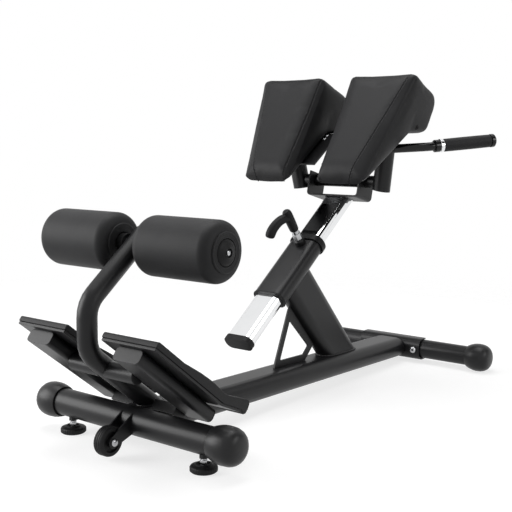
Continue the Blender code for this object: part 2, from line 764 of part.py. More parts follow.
GUSSET_TOP = 0.050
GUSSET_LEAVES = 0.217
GUSSET_FOOT_X = 0.514
GUSSET_HEEL_X = 0.6575
GUSSET_RIM = 0.0175


def column_front(distance):
    """Point on the column's front line, at a distance down from the sleeve."""
    return column_top + column_heading * distance - column_side * (COLUMN_LONG / 2.0 + SEAT_GAP)


def gusset_outline():
    top = column_front(GUSSET_TOP)
    leaves = column_front(GUSSET_LEAVES)
    foot = beam_point(GUSSET_FOOT_X, BEAM_HEIGHT / 2.0 + SEAT_GAP)
    heel = beam_point(GUSSET_HEEL_X, BEAM_HEIGHT / 2.0 + SEAT_GAP)
    shoulder = top - column_side * 0.010
    return [(p.x, p.z) for p in (shoulder, foot, heel, leaves, top)]


def inset_outline(points, distance):
    """Offset a convex outline inwards by the rim's width."""
    count = len(points)
    inside = []
    for index in range(count):
        before, here, after = (Vector(points[(index + k) % count]) for k in (-1, 0, 1))
        to_before, to_after = (before - here).normalized(), (after - here).normalized()
        bisector = (to_before + to_after).normalized()
        inside.append(tuple(here + bisector * distance / math.sin(to_before.angle(to_after) / 2.0)))
    return inside


gusset_corners = gusset_outline()
window = round_corners(inset_outline(gusset_corners[:4], GUSSET_RIM), 0.004, closed=True)
gusset = plate("gusset_plate", [gusset_corners, window], GUSSET_PLATE, (0, 0, 0), SIDE_PLANE)

# Clamp: a boss welded on the sleeve, a pressure pad in its own bore and a screw with a bent handle

PAD_RADIUS = 0.008
clamp_foot = on_axis(CLAMP_ALONG)
post_top_face = POST_HEIGHT / 2.0
sleeve_top_face = POST_HEIGHT / 2.0 + SLEEVE_SKIN
pad_low = post_top_face + SEAT_GAP
pad_high = pad_low + CLAMP_PAD_THICK
boss_low = sleeve_top_face + SEAT_GAP
boss_high = boss_low + BOSS_HEIGHT
screw_low = pad_high + SEAT_GAP
handle_low = boss_high + NUT_HEIGHT + 2 * SEAT_GAP
handle_high = handle_low + HANDLE_HUB_HEIGHT

clamp_bore_bm = bmesh.new()
rod(clamp_bore_bm, on_axis(CLAMP_ALONG, 0.010), on_axis(CLAMP_ALONG, boss_low), PAD_RADIUS + SEAT_GAP, 28)
clamp_bore = cutter_from("clamp_bore", clamp_bore_bm)
cut(sleeve, clamp_bore)
cut(upper_bush, clamp_bore)

boss_profile = [(SCREW_D / 2 + SEAT_GAP, boss_high), (BOSS_D / 2 - 0.004, boss_high),
                (BOSS_D / 2, boss_high - 0.004), (BOSS_D / 2, boss_low), (SCREW_D / 2 + SEAT_GAP, boss_low)]
turned("clamp_boss", boss_profile, clamp_foot, axis_up, POWDER_COAT, steps=24, ring=True)

pad_profile = [(0.0, pad_high), (PAD_RADIUS - 0.0006, pad_high), (PAD_RADIUS, pad_high - 0.0006),
               (PAD_RADIUS, pad_low), (0.0, pad_low)]
turned("clamp_pad", pad_profile, clamp_foot, axis_up, BLACK_PLASTIC, steps=24)

# The screw carries a tall plated nut under the handle's hub
nut_low = boss_high + SEAT_GAP + 0.0012
screw_profile = [(0.0, handle_low + 0.020), (SCREW_D / 2 - 0.001, handle_low + 0.020),
                 (SCREW_D / 2, handle_low + 0.019), (SCREW_D / 2, screw_low + 0.001),
                 (SCREW_D / 2 - 0.001, screw_low), (0.0, screw_low)]
clamp_screw = turned("clamp_screw", screw_profile, clamp_foot, axis_up, ZINC, steps=20)
clamp_nut_bm = bmesh.new()
rod(clamp_nut_bm, on_axis(CLAMP_ALONG, nut_low), on_axis(CLAMP_ALONG, handle_low - SEAT_GAP - 0.010), 0.0125, 6)
rod(clamp_nut_bm, on_axis(CLAMP_ALONG, handle_low - SEAT_GAP - 0.0095), on_axis(CLAMP_ALONG, handle_low - SEAT_GAP),
    0.0100, 20)
union(clamp_screw, cutter_from("clamp_nut", clamp_nut_bm))

handle_axis = -axis_vector * math.cos(HANDLE_TURN) + Vector((0, math.sin(HANDLE_TURN), 0))
handle_side = axis_up.cross(handle_axis)
knee_radius = 0.011
arm_rise = HANDLE_HUB_HEIGHT - HANDLE_ARM_D / 2.0 - knee_radius - 0.004
arm_bm, arm_end, _ = swept(round_section(HANDLE_ARM_D, 14), on_axis(CLAMP_ALONG, handle_low + 0.004), axis_up, handle_side,
                     [("straight", arm_rise), ("bend", handle_side, math.radians(84), knee_radius),
                      ("straight", HANDLE_REACH - 0.045), ("bend", handle_side, math.radians(16), 0.060)])
clamp_handle = add_bmesh("clamp_handle", close_ends(arm_bm), BLACK_PLASTIC, clamp_foot)
tip_bm = bmesh.new()
bmesh.ops.create_uvsphere(tip_bm, u_segments=14, v_segments=8, radius=HANDLE_ARM_D / 2.0,
                          matrix=Matrix.Translation(arm_end))
union(clamp_handle, cutter_from("handle_tip", tip_bm))
hub_bm = bmesh.new()
rod(hub_bm, on_axis(CLAMP_ALONG, handle_low), on_axis(CLAMP_ALONG, handle_low + 0.028), HANDLE_HUB_D / 2, 24,
    HANDLE_HUB_D / 2 - 0.002)
union(clamp_handle, cutter_from("handle_hub", hub_bm))
handle_bore_bm = bmesh.new()
rod(handle_bore_bm, on_axis(CLAMP_ALONG, handle_low - 0.010), on_axis(CLAMP_ALONG, handle_low + 0.0203),
    SCREW_D / 2 + SEAT_GAP, 20)
cut(clamp_handle, cutter_from("handle_bore", handle_bore_bm))

# Inner post, its end cap and the bracket on its top

inner_post = tube("inner_post", post_section(0.0), on_axis(POST_LOW), axis_vector, (0, 1, 0),
                  [("straight", POST_HIGH - POST_LOW + 0.06)], POST_WALL, CHROME)

cap_bm, _, _ = swept(post_section(0.0015), on_axis(POST_LOW - SEAT_GAP), -axis_vector,
                     (0, 1, 0), [("straight", 0.014)])
post_cap = add_bmesh("post_end_cap", close_ends(cap_bm), BLACK_PLASTIC)
cap_plug_bm, _, _ = swept(post_section(-POST_WALL - SEAT_GAP), on_axis(POST_LOW + 0.016), -axis_vector, (0, 1, 0), [("straight", 0.022)])
union(post_cap, cutter_from("post_cap_plug", close_ends(cap_plug_bm)))

bracket_up = Vector((math.sin(BRACKET_TILT), 0.0, math.cos(BRACKET_TILT)))
bracket_along = Vector((math.cos(BRACKET_TILT), 0.0, -math.sin(BRACKET_TILT)))
BRACKET_ORIGIN = Vector((BRACKET_X, 0.0, BRACKET_Z))


def on_bracket(along, y, rise):
    """Point in the bracket's own directions, from the middle of its base's underside."""
    return BRACKET_ORIGIN + bracket_along * along + Vector((0, y, 0)) + bracket_up * rise


base_line = BRACKET_PLATE / 2.0
reach = BRACKET_HALF - BRACKET_PLATE / 2.0
bracket_path = round_corners([(-reach, BRACKET_RISE), (-reach, base_line), (reach, base_line), (reach, BRACKET_RISE)],
                             BRACKET_BEND, steps=6)
bracket_turn = Matrix((Vector((0, 1, 0)), bracket_up, bracket_along)).transposed().to_quaternion()
bracket = plate("carriage_bracket", [strip_outline(bracket_path, BRACKET_PLATE)], BRACKET_LENGTH, BRACKET_ORIGIN,
                bracket_turn)

under_bracket_bm = bmesh.new()
bracket_axes = Matrix((bracket_along, Vector((0, 1, 0)), bracket_up)).transposed()
block(under_bracket_bm, on_bracket(0, 0, 0.2 - SEAT_GAP), (0.5, 0.4, 0.4), bracket_axes)
cut(inner_post, cutter_from("post_top_plane", under_bracket_bm))

# Crossbar through the bracket's flanges, from pad post to pad post

crossbar_centre = on_bracket(0, 0, CROSSBAR_RISE)
crossbar = tube("carriage_crossbar", round_section(CROSSBAR_D, 24), crossbar_centre - Vector((0, 0.150, 0)), (0, 1, 0),
                (1, 0, 0), [("straight", 0.300)], 0.0025)
flange_bore_bm = bmesh.new()
rod(flange_bore_bm, crossbar_centre - Vector((0, 0.120, 0)), crossbar_centre + Vector((0, 0.120, 0)),
    CROSSBAR_D / 2 + SEAT_GAP, 24)
cut(bracket, cutter_from("flange_bores", flange_bore_bm))


def leaning(sign):
    return Vector((PAD_POST_LEAN[0], sign * PAD_POST_LEAN[1], PAD_POST_LEAN[2])).normalized()


def pad_post_point(sign, rise):
    """Point on a pad post's axis at a rise above its lower end."""
    low = Vector((PAD_POST_LOW[0], sign * PAD_POST_LOW[1], PAD_POST_LOW[2]))
    return low + leaning(sign) * (rise / leaning(sign).z)


def post_hull(word, sign):
    """Outside of a pad post, for coping what is welded to it."""
    bm = bmesh.new()
    rod(bm, pad_post_point(sign, -0.001), pad_post_point(sign, 0.30), PAD_POST_D / 2 + SEAT_GAP, 28)
    return cutter_from("pad_post_hull_" + word, bm)


# Hip pads: profile drawn from the side, with the inner and outer faces leaning apart upwards

PAD_LOW_Z = min(z for _, z in PAD_PROFILE)
PAD_HIGH_Z = max(z for _, z in PAD_PROFILE)
PAD_BACK = [Vector(PAD_PROFILE[2]), Vector(PAD_PROFILE[3]), Vector(PAD_PROFILE[4])]


def pad_side(z, low, high):
    return low + (high - low) * (z - PAD_LOW_Z) / (PAD_HIGH_Z - PAD_LOW_Z)


def pad_block(name, sign):
    bm = bmesh.new()
    inner = [bm.verts.new((x, sign * pad_side(z, PAD_INNER_LOW, PAD_INNER_TOP), z)) for x, z in PAD_PROFILE]
    outer = [bm.verts.new((x, sign * pad_side(z, PAD_OUTER_LOW, PAD_OUTER_TOP), z)) for x, z in PAD_PROFILE]
    bm.faces.new(inner)
    bm.faces.new(outer[::-1])
    for index in range(len(inner)):
        after = (index + 1) % len(inner)
        bm.faces.new((inner[index], outer[index], outer[after], inner[after]))
    bmesh.ops.recalc_face_normals(bm, faces=bm.faces)
    rear_corner = [edge for edge in bm.edges if set(edge.verts) == {inner[1], outer[1]}]
    bmesh.ops.bevel(bm, geom=rear_corner, offset=PAD_REAR_ROUND, segments=3, profile=0.5, affect="EDGES", material=-1)
    part = add_bmesh(name, bm, LEATHERETTE)
    edge = part.modifiers.new("edge", "BEVEL")
    edge.width = PAD_EDGE
    edge.segments = 3
    edge.limit_method = "ANGLE"
    edge.angle_limit = math.radians(40)
    return part


def pad_plate_path():
    """Bent plate's centreline, a seat gap and half a thickness under the pad's back."""
    rear, bend, front = PAD_BACK
    offset = SEAT_GAP + PAD_PLATE_THICK / 2.0
    run_one = (bend - rear).normalized()
    run_two = (front - bend).normalized()
    down_one = Vector((run_one.y, -run_one.x)) * -1.0
    down_two = Vector((run_two.y, -run_two.x)) * -1.0
    down_one = down_one if down_one.y < 0 else -down_one
    down_two = down_two if down_two.y < 0 else -down_two
    corner = (down_one + down_two).normalized()
    corner = bend + corner * (offset / corner.dot(down_one))
    start = corner - run_one * PLATE_REAR
    finish = corner + run_two * PLATE_FRONT
    return [tuple(start), tuple(corner), tuple(finish)]


PLATE_REAR = 0.056
PLATE_FRONT = 0.146
PAD_PLATE_Y = 0.094
PAD_PLATE_WIDTH = 0.164
PAD_BOLT_D = 0.008
BOLT_ROWS = (0.094, 0.162)
BOLT_FROM_BEND = (-0.032, 0.086)


def pad_plate_point(distance, depth):
    """Point along the bent plate's centreline from its bend, forwards positive, at a depth below it."""
    start, corner, finish = (Vector(point) for point in pad_plate_path())
    run = (finish - corner).normalized() if distance > 0 else (corner - start).normalized()
    down = Vector((run.y, -run.x))
    down = down if down.y < 0 else -down
    place = corner + run * distance + down * depth
    return Vector((place.x, 0.0, place.y)), Vector((down.x, 0.0, down.y))


def under_plate_point(distance):
    place, _ = pad_plate_point(distance, PAD_PLATE_THICK / 2.0 + SEAT_GAP)
    return (place.x, place.z)


corner_ahead, corner_behind = Vector(under_plate_point(EPS)), Vector(under_plate_point(-EPS))
over_outline = [under_plate_point(-0.2), tuple((corner_ahead + corner_behind) / 2.0), under_plate_point(0.2)]
over_outline += [(over_outline[-1][0], 1.1), (over_outline[0][0], 1.1)]
over_mesh = plate_mesh("above_pad_plates", [over_outline], 0.6)
over_bm = bmesh.new()
over_bm.from_mesh(over_mesh)
bmesh.ops.transform(over_bm, verts=over_bm.verts, matrix=SIDE_PLANE.to_matrix().to_4x4())
bpy.data.meshes.remove(over_mesh)
above_plates = cutter_from("above_pad_plates", over_bm)

for word, sign in SIDES:
    bolt_bore_bm = bmesh.new()
    bolt_places = []
    for distance in BOLT_FROM_BEND:
        place, down = pad_plate_point(distance, PAD_PLATE_THICK / 2.0)
        for row in BOLT_ROWS:
            here = place + Vector((0, sign * row, 0))
            bolt_places.append((here, down))
            rod(bolt_bore_bm, here, here - down * 0.026, PAD_BOLT_D / 2 + SEAT_GAP, 16)
    bolt_bores = cutter_from("pad_bolt_bores_" + word, bolt_bore_bm)
    pad_bolts = turned_solids("pad_bolts_" + word, cap_screw_profile(PAD_BOLT_D, 0.015, 0.006, 0.024), bolt_places,
                              steps=12)
    pad_plate = plate("pad_plate_" + word, [strip_outline(pad_plate_path(), PAD_PLATE_THICK)], PAD_PLATE_WIDTH,
                      (0, sign * PAD_PLATE_Y, 0), SIDE_PLANE)
    union(pad_plate, pad_bolts)
    hull = post_hull(word, sign)
    pad_post = tube("pad_post_" + word, round_section(PAD_POST_D, 28), pad_post_point(sign, 0.0), leaning(sign),
                    (1, 0, 0), [("straight", 0.20)], PAD_POST_WALL, floor=True)
    cut(pad_post, above_plates)
    hip_pad = pad_block("hip_pad_" + word, sign)
    cut(hip_pad, bolt_bores)
    cut(crossbar, hull)

# Handles: one bend from the pad post to the grip, a foam grip between a collar and an end cap

GRIP_BEND = 0.050
GRIP_RUN_IN = 0.045
SEAT_RING = 0.0155
END_RING = 0.010
collar_profile = [(HANDLE_D / 2 + SEAT_GAP, COLLAR_WIDTH), (COLLAR_D / 2 - 0.001, COLLAR_WIDTH),
                  (COLLAR_D / 2, COLLAR_WIDTH - 0.001), (COLLAR_D / 2, 0.0015), (COLLAR_D / 2 - 0.0015, 0.0),
                  (HANDLE_D / 2 + SEAT_GAP, 0.0)]
seat_profile = [(0.0, SEAT_RING), (COLLAR_D / 2 - 0.004, SEAT_RING), (COLLAR_D / 2 - 0.0015, SEAT_RING - 0.0025),
                (COLLAR_D / 2 - 0.0015, 0.0), (0.0, 0.0)]
end_profile = [(0.0, END_RING + 0.003), (COLLAR_D / 2 - 0.003, END_RING + 0.003),
               (COLLAR_D / 2, END_RING), (COLLAR_D / 2, 0.001), (COLLAR_D / 2 - 0.001, 0.0), (0.0, 0.0)]
for word, sign in SIDES:
    grip_start = Vector((GRIP_START[0], sign * GRIP_START[1], GRIP_START[2]))
    grip_heading = Vector((GRIP_HEADING[0], sign * GRIP_HEADING[1], GRIP_HEADING[2])).normalized()
    root = pad_post_point(sign, HANDLE_Z - PAD_POST_LOW[2])
    knee = grip_start - grip_heading * GRIP_RUN_IN
    first_heading = (knee - root).normalized()
    bend_axis = first_heading.cross(grip_heading).normalized()
    bend_angle = first_heading.angle(grip_heading)
    tangent = GRIP_BEND * math.tan(bend_angle / 2.0)
    handle_length = GRIP_RUN_IN - tangent + GRIP_LENGTH + END_RING / 2.0
    handle = bar("handle_bar_" + word, round_section(HANDLE_D, 16), root, first_heading, bend_axis,
                 [("straight", (knee - root).length - tangent), ("bend", bend_axis, bend_angle, GRIP_BEND),
                  ("straight", handle_length)])
    cut(handle, cutters.objects["pad_post_hull_" + word])
    grip_profile = [(HANDLE_D / 2 + SEAT_GAP, 0.0), (HANDLE_D / 2 + SEAT_GAP, GRIP_LENGTH - SEAT_GAP),
                    (GRIP_D / 2 - 0.002, GRIP_LENGTH - SEAT_GAP), (GRIP_D / 2, GRIP_LENGTH - SEAT_GAP - 0.002),
                    (GRIP_D / 2, 0.002), (GRIP_D / 2 - 0.002, 0.0)]
    turned("handle_grip_" + word, grip_profile, grip_start, grip_heading, FOAM, steps=24, ring=True)
    turned("grip_collar_" + word, collar_profile, grip_start - grip_heading * (COLLAR_WIDTH + SEAT_GAP),
           grip_heading, CHROME, steps=20, ring=True)
    seat_place = grip_start - grip_heading * (COLLAR_WIDTH + 2 * SEAT_GAP)
    union(handle, turned_solids("collar_seat_" + word, seat_profile, [(seat_place, -grip_heading)], steps=20))
    union(handle, turned_solids("grip_end_cap_" + word, end_profile,
                                [(grip_start + grip_heading * GRIP_LENGTH, grip_heading)], steps=20))

# Roller arm: one round tube, bent twice, from the beam up behind the footrest to the roller axle

ARM_KNEE_X = -0.1328
ARM_LOWER_SLOPE = math.radians(38.5)
ARM_UPPER_SLOPE = math.radians(38.7)
ARM_BEND = 0.060
ARM_FOOT_X = 0.052
ARM_PAST_AXLE = 0.034

arm_foot = beam_point(ARM_FOOT_X, BEAM_HEIGHT / 2.0)
lower_run = (arm_foot.x - ARM_KNEE_X) / math.cos(ARM_LOWER_SLOPE)
lower_knee_z = arm_foot.z + lower_run * math.sin(ARM_LOWER_SLOPE)
upper_run = (ROLLER_X - ARM_KNEE_X) / math.cos(ARM_UPPER_SLOPE)
upper_knee_z = ROLLER_Z - upper_run * math.sin(ARM_UPPER_SLOPE)
lower_turn = math.pi / 2 - ARM_LOWER_SLOPE
upper_turn = math.pi / 2 - ARM_UPPER_SLOPE
lower_tangent = ARM_BEND * math.tan(lower_turn / 2.0)
upper_tangent = ARM_BEND * math.tan(upper_turn / 2.0)
arm_into_beam = 0.050
arm_heading = Vector((-math.cos(ARM_LOWER_SLOPE), 0.0, math.sin(ARM_LOWER_SLOPE)))
roller_arm = tube("roller_arm", round_section(ARM_D, 20), arm_foot - arm_heading * arm_into_beam, arm_heading, (0, 1, 0),
                  [("straight", arm_into_beam + lower_run - lower_tangent), ("bend", (0, 1, 0), lower_turn, ARM_BEND),
                   ("straight", upper_knee_z - lower_knee_z - lower_tangent - upper_tangent),
                   ("bend", (0, 1, 0), upper_turn, ARM_BEND),
                   ("straight", upper_run - upper_tangent + ARM_PAST_AXLE)], TUBE_WALL)
beam_hull_bm, _, _ = swept(flat_oval(BEAM_WIDTH + 2 * SEAT_GAP, BEAM_HEIGHT + 2 * SEAT_GAP), beam_point(-0.2),
                           beam_vector, (0, 1, 0), [("straight", 0.5)])
block_below_bm = bmesh.new()
block(block_below_bm, beam_point(0.05, BEAM_HEIGHT / 2 + SEAT_GAP - 0.2), (0.6, 0.4, 0.4), beam_turn)
beam_hull = cutter_from("beam_hull", close_ends(beam_hull_bm))
cut(roller_arm, below_beam)
cut(roller_arm, front_cope)

# Axle through the arm, and a foam roller on a turning hub at each side

AXLE_END = ROLLER_OUTER + 0.0015
axle_centre = (ROLLER_X, 0.0, ROLLER_Z)
axle_profile = [(0.0, AXLE_END), (AXLE_D / 2 - 0.001, AXLE_END), (AXLE_D / 2, AXLE_END - 0.001),
                (AXLE_D / 2, -AXLE_END + 0.001), (AXLE_D / 2 - 0.001, -AXLE_END), (0.0, -AXLE_END)]
roller_axle = turned("roller_axle", axle_profile, axle_centre, (0, 1, 0), POWDER_COAT, steps=20)
axle_bore_bm = bmesh.new()
rod(axle_bore_bm, (ROLLER_X, -0.1, ROLLER_Z), (ROLLER_X, 0.1, ROLLER_Z), AXLE_D / 2 + SEAT_GAP, 28)
cut(roller_arm, cutter_from("axle_bore", axle_bore_bm))

HUB_START = ARM_D / 2.0 + 0.0010
HUB_END = AXLE_END - 0.0010
HUB_FLANGE_D = 0.056
FLANGE_THICK = 0.0055
ROLLER_RECESS = 0.006
ROLLER_RECESS_D = 0.064


def roller_profile():
    """Moulded foam roller: large shoulders, a recess in the outer end and a bore for its hub."""
    rim = ROLLER_D / 2.0
    bore = HUB_D / 2.0 + SEAT_GAP
    length = ROLLER_OUTER - ROLLER_INNER
    inner_shoulder = arc_points((rim - ROLLER_SHOULDER, ROLLER_SHOULDER), ROLLER_SHOULDER, 0.0, -math.pi / 2, 5)
    outer_shoulder = arc_points((rim - ROLLER_SHOULDER, length - ROLLER_SHOULDER), ROLLER_SHOULDER, math.pi / 2, 0.0, 5)
    recess = ROLLER_RECESS_D / 2.0
    return ([(bore, length - ROLLER_RECESS), (recess - 0.003, length - ROLLER_RECESS), (recess, length)]
            + outer_shoulder + inner_shoulder + [(bore, 0.0)])


def roller_hub_profile():
    """Plastic hub: sleeve that turns on the axle, with a flange in the roller's outer recess."""
    bore = AXLE_D / 2.0 + SLIDE_GAP
    skin = HUB_D / 2.0
    flange_low = ROLLER_OUTER - ROLLER_RECESS + SEAT_GAP - HUB_START
    length = HUB_END - HUB_START
    shoulder = ROLLER_INNER - HUB_START - SEAT_GAP
    return [(bore, length), (skin - 0.001, length), (skin + 0.002, flange_low + FLANGE_THICK),
            (HUB_FLANGE_D / 2, flange_low + 0.002), (HUB_FLANGE_D / 2, flange_low), (skin, flange_low),
            (skin, shoulder), (skin + 0.004, shoulder), (skin + 0.004, 0.0), (bore, 0.0)]


def washer_bolt_profile():
    """Retaining bolt and its washer on the end of the axle."""
    washer = AXLE_D / 2.0 + 0.004
    return dome(0.017, 0.0025, 0.006) + [(0.0085, 0.0025), (washer, 0.0025), (washer, 0.0), (0.005, 0.0),
                                         (0.005, -0.005), (0.0, -0.005)]


roller_bolt_places = []
for word, sign in SIDES:
    heading = (0, sign, 0)
    foam_start = (ROLLER_X, sign * ROLLER_INNER, ROLLER_Z)
    turned("roller_" + word, roller_profile(), foam_start, heading, FOAM, steps=28, ring=True)
    hub_start = (ROLLER_X, sign * HUB_START, ROLLER_Z)
    turned("roller_hub_" + word, roller_hub_profile(), hub_start, heading, BLACK_PLASTIC, steps=24, ring=True)
    roller_bolt_places.append(((ROLLER_X, sign * AXLE_END, ROLLER_Z), heading))
union(roller_axle, turned_solids("roller_end_bolts", washer_bolt_profile(), roller_bolt_places, steps=14))

# Footrest: a channel under each foot plate, tied to the arm and the beam by cross stubs

slope_vector = Vector((math.cos(PLATE_SLOPE), 0.0, -math.sin(PLATE_SLOPE)))
slope_up = Vector((math.sin(PLATE_SLOPE), 0.0, math.cos(PLATE_SLOPE)))
SLOPE_ORIGIN = Vector((PLATE_TOP[0], 0.0, PLATE_TOP[1]))


def on_slope(along, height=0.0, y=0.0):
    """Point on the footrest: down the slope from its top edge, and a height over the standing face."""
    return SLOPE_ORIGIN + slope_vector * along + slope_up * height + Vector((0, y, 0))


SHEET_THICK = 0.006
MAT_SEAT = SHEET_THICK - PLATE_THICK
SHEET_LENGTH = 0.066
sheet_middle = MAT_SEAT - SHEET_THICK / 2.0
sheet_turn = TOE_TURN * 0.8
sheet_path = [(0.002, sheet_middle), (PLATE_FLAT, sheet_middle),
              (PLATE_FLAT + SHEET_LENGTH * math.cos(sheet_turn), sheet_middle + SHEET_LENGTH * math.sin(sheet_turn))]
sheet_bent = round_corners(sheet_path, 0.030, steps=5)


def slope_outline(points):
    """Outline given down the slope and over it, as points in X and Z."""
    placed = [on_slope(along, height) for along, height in points]
    return [(p.x, p.z) for p in placed]


def mat_outline():
    """Moulded mat: flat heel end, a shallow swell and a thick toe lip; its underside follows the sheet."""
    swell = [(0.0, -0.003), (0.003, 0.0), (0.093, 0.0002), (0.151, 0.0070), (0.185, 0.0090), (0.2065, 0.0090),
             (0.245, 0.0062), (0.262, 0.0088), (0.284, 0.0160), (0.327, 0.0300), (0.334, 0.0300), (0.3385, 0.0250),
             (0.3405, 0.0120), (0.3390, 0.0010), (0.3330, -0.0040)]
    top_of_sheet = []
    for index, point in enumerate(strip_outline(sheet_bent, SHEET_THICK + 2 * SEAT_GAP)[:len(sheet_bent)]):
        top_of_sheet.append(point)
    top_of_sheet[-1] = tuple(Vector(top_of_sheet[-1]))
    return swell + top_of_sheet[::-1][:-1] + [(0.0, MAT_SEAT + SEAT_GAP)]


PLUG_FACE = 0.003
channel_half = CHANNEL_HEIGHT / 2.0
channel_middle = -PLATE_THICK - SEAT_GAP - channel_half
for word, sign in SIDES:
    middle = sign * (PLATE_INNER + PLATE_OUTER) / 2.0
    width = PLATE_OUTER - PLATE_INNER
    plate("foot_plate_" + word, [slope_outline(strip_outline(sheet_bent, SHEET_THICK))], width - 0.004,
          (0, middle, 0), SIDE_PLANE)
    plate("foot_mat_" + word, [slope_outline(mat_outline())], width, (0, middle, 0), SIDE_PLANE, RUBBER)
    channel_y = sign * (CHANNEL_INNER + CHANNEL_WIDTH / 2.0)
    channel_section = rounded_box(CHANNEL_WIDTH, CHANNEL_HEIGHT, CHANNEL_ROUND)
    tube("footrest_channel_" + word, channel_section, on_slope(CHANNEL_START, channel_middle, channel_y), slope_vector,
         (0, 1, 0), [("straight", CHANNEL_LENGTH)], CHANNEL_WALL, floor=True)
    plug_start = on_slope(CHANNEL_START + CHANNEL_LENGTH + SEAT_GAP, channel_middle, channel_y)
    bar("channel_end_plug_" + word, channel_section, plug_start, slope_vector, (0, 1, 0), [("straight", PLUG_FACE)],
        BLACK_PLASTIC)

# Cross stubs: round ones from the arm, flat ones from the beam's flanks

UPPER_STUB_X = -0.084
UPPER_STUB_Z = 0.203
LOWER_STUB_ALONG = 0.270
LOWER_STUB_DEPTH = -0.052
LOWER_STUB_START = 0.028
LOWER_STUB_SECTION = (0.038, 0.026)

arm_hull_bm, _, _ = swept(round_section(ARM_D + 2 * SEAT_GAP, 20), arm_foot - arm_heading * arm_into_beam, arm_heading,
                          (0, 1, 0), [("straight", arm_into_beam + lower_run - lower_tangent)])
arm_hull = cutter_from("arm_hull", close_ends(arm_hull_bm))
slope_axes = Matrix((slope_vector, Vector((0, 1, 0)), slope_up)).transposed()
for word, sign in SIDES:
    channel_flank = sign * (CHANNEL_INNER - SEAT_GAP)
    upper_stub = tube("upper_cross_stub_" + word, round_section(STUB_D, 20), (UPPER_STUB_X, channel_flank, UPPER_STUB_Z),
                      (0, -sign, 0), (1, 0, 0), [("straight", CHANNEL_INNER - 0.010)], CHANNEL_WALL)
    cut(upper_stub, arm_hull)
    lower_bm = bmesh.new()
    length = CHANNEL_INNER - SEAT_GAP - LOWER_STUB_START
    block(lower_bm, on_slope(LOWER_STUB_ALONG, LOWER_STUB_DEPTH, sign * (LOWER_STUB_START + length / 2.0)),
          LOWER_STUB_SECTION[:1] + (length,) + LOWER_STUB_SECTION[1:], slope_axes)
    lower_stub = add_bmesh("lower_cross_stub_" + word, lower_bm, POWDER_COAT)
    cut(lower_stub, beam_hull)

# The origin: middle of the footprint, on the floor

channel_low = -PLATE_THICK - SEAT_GAP - CHANNEL_HEIGHT
front_extreme = on_slope(CHANNEL_START, channel_low).x
rear_extreme = WHEELBASE + END_CAP_D / 2.0
layout.location = (-(front_extreme + rear_extreme) / 2.0, 0.0, 0.0)
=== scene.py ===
import math

import bmesh
import bpy
from mathutils import Matrix, Vector


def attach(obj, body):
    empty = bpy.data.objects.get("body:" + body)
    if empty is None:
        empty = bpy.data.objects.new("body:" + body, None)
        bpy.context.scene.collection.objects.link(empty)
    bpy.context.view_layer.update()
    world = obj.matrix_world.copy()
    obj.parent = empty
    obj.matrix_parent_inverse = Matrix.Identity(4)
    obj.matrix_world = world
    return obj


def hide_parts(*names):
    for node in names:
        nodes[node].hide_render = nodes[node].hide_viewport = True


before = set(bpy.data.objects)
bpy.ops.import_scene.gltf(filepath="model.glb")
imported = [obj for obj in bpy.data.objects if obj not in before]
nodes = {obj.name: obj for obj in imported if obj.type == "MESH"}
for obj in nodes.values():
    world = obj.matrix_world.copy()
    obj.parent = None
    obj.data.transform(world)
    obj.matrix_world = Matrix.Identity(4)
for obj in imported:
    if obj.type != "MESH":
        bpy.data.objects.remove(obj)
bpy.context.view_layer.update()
SIDES = (("left", 1.0), ("right", -1.0))


# Front cross tube
# Round steel tube with the two foot nuts welded into its underside, in satin graphite powder coat.
# The coat's fine grain and slow drift in shade are one node group, which the other finishes share.

def surface_grain_group():
    """Fine grain and a slow blotch over a surface, both from 0 to 1."""
    group = bpy.data.node_groups.new("surface_grain", "ShaderNodeTree")
    group.interface.new_socket("Vector", in_out="INPUT", socket_type="NodeSocketVector")
    group.interface.new_socket("Grain Scale", in_out="INPUT", socket_type="NodeSocketFloat")
    group.interface.new_socket("Blotch Scale", in_out="INPUT", socket_type="NodeSocketFloat")
    group.interface.new_socket("Grain", in_out="OUTPUT", socket_type="NodeSocketFloat")
    group.interface.new_socket("Blotch", in_out="OUTPUT", socket_type="NodeSocketFloat")
    inputs = group.nodes.new("NodeGroupInput")
    outputs = group.nodes.new("NodeGroupOutput")
    fine = group.nodes.new("ShaderNodeTexNoise")
    fine.inputs["Detail"].default_value = 3.0
    fine.inputs["Roughness"].default_value = 0.55
    slow = group.nodes.new("ShaderNodeTexNoise")
    slow.inputs["Detail"].default_value = 4.0
    slow.inputs["Roughness"].default_value = 0.6
    for noise, scale in ((fine, "Grain Scale"), (slow, "Blotch Scale")):
        group.links.new(inputs.outputs["Vector"], noise.inputs["Vector"])
        group.links.new(inputs.outputs[scale], noise.inputs["Scale"])
    group.links.new(fine.outputs["Fac"], outputs.inputs["Grain"])
    group.links.new(slow.outputs["Fac"], outputs.inputs["Blotch"])
    return group


surface_grain = surface_grain_group()
NOISE_LOW = 0.3      # nearly all of a noise lies between these two values
NOISE_HIGH = 0.7


def start_material(name, **sockets):
    """Material with one Principled shader; its even values are set on the sockets."""
    material = bpy.data.materials.new(name)
    material.use_nodes = True
    shader = material.node_tree.nodes["Principled BSDF"]
    for socket, value in sockets.items():
        shader.inputs[socket.replace("_", " ")].default_value = value
    return material, material.node_tree, shader


def add_grain(tree, grain_scale, blotch_scale):
    """Places the shared grain group in a material, on the piece's own coordinates."""
    place = tree.nodes.new("ShaderNodeTexCoord")
    grain = tree.nodes.new("ShaderNodeGroup")
    grain.node_tree = surface_grain
    grain.inputs["Grain Scale"].default_value = grain_scale
    grain.inputs["Blotch Scale"].default_value = blotch_scale
    tree.links.new(place.outputs["Object"], grain.inputs["Vector"])
    return place, grain


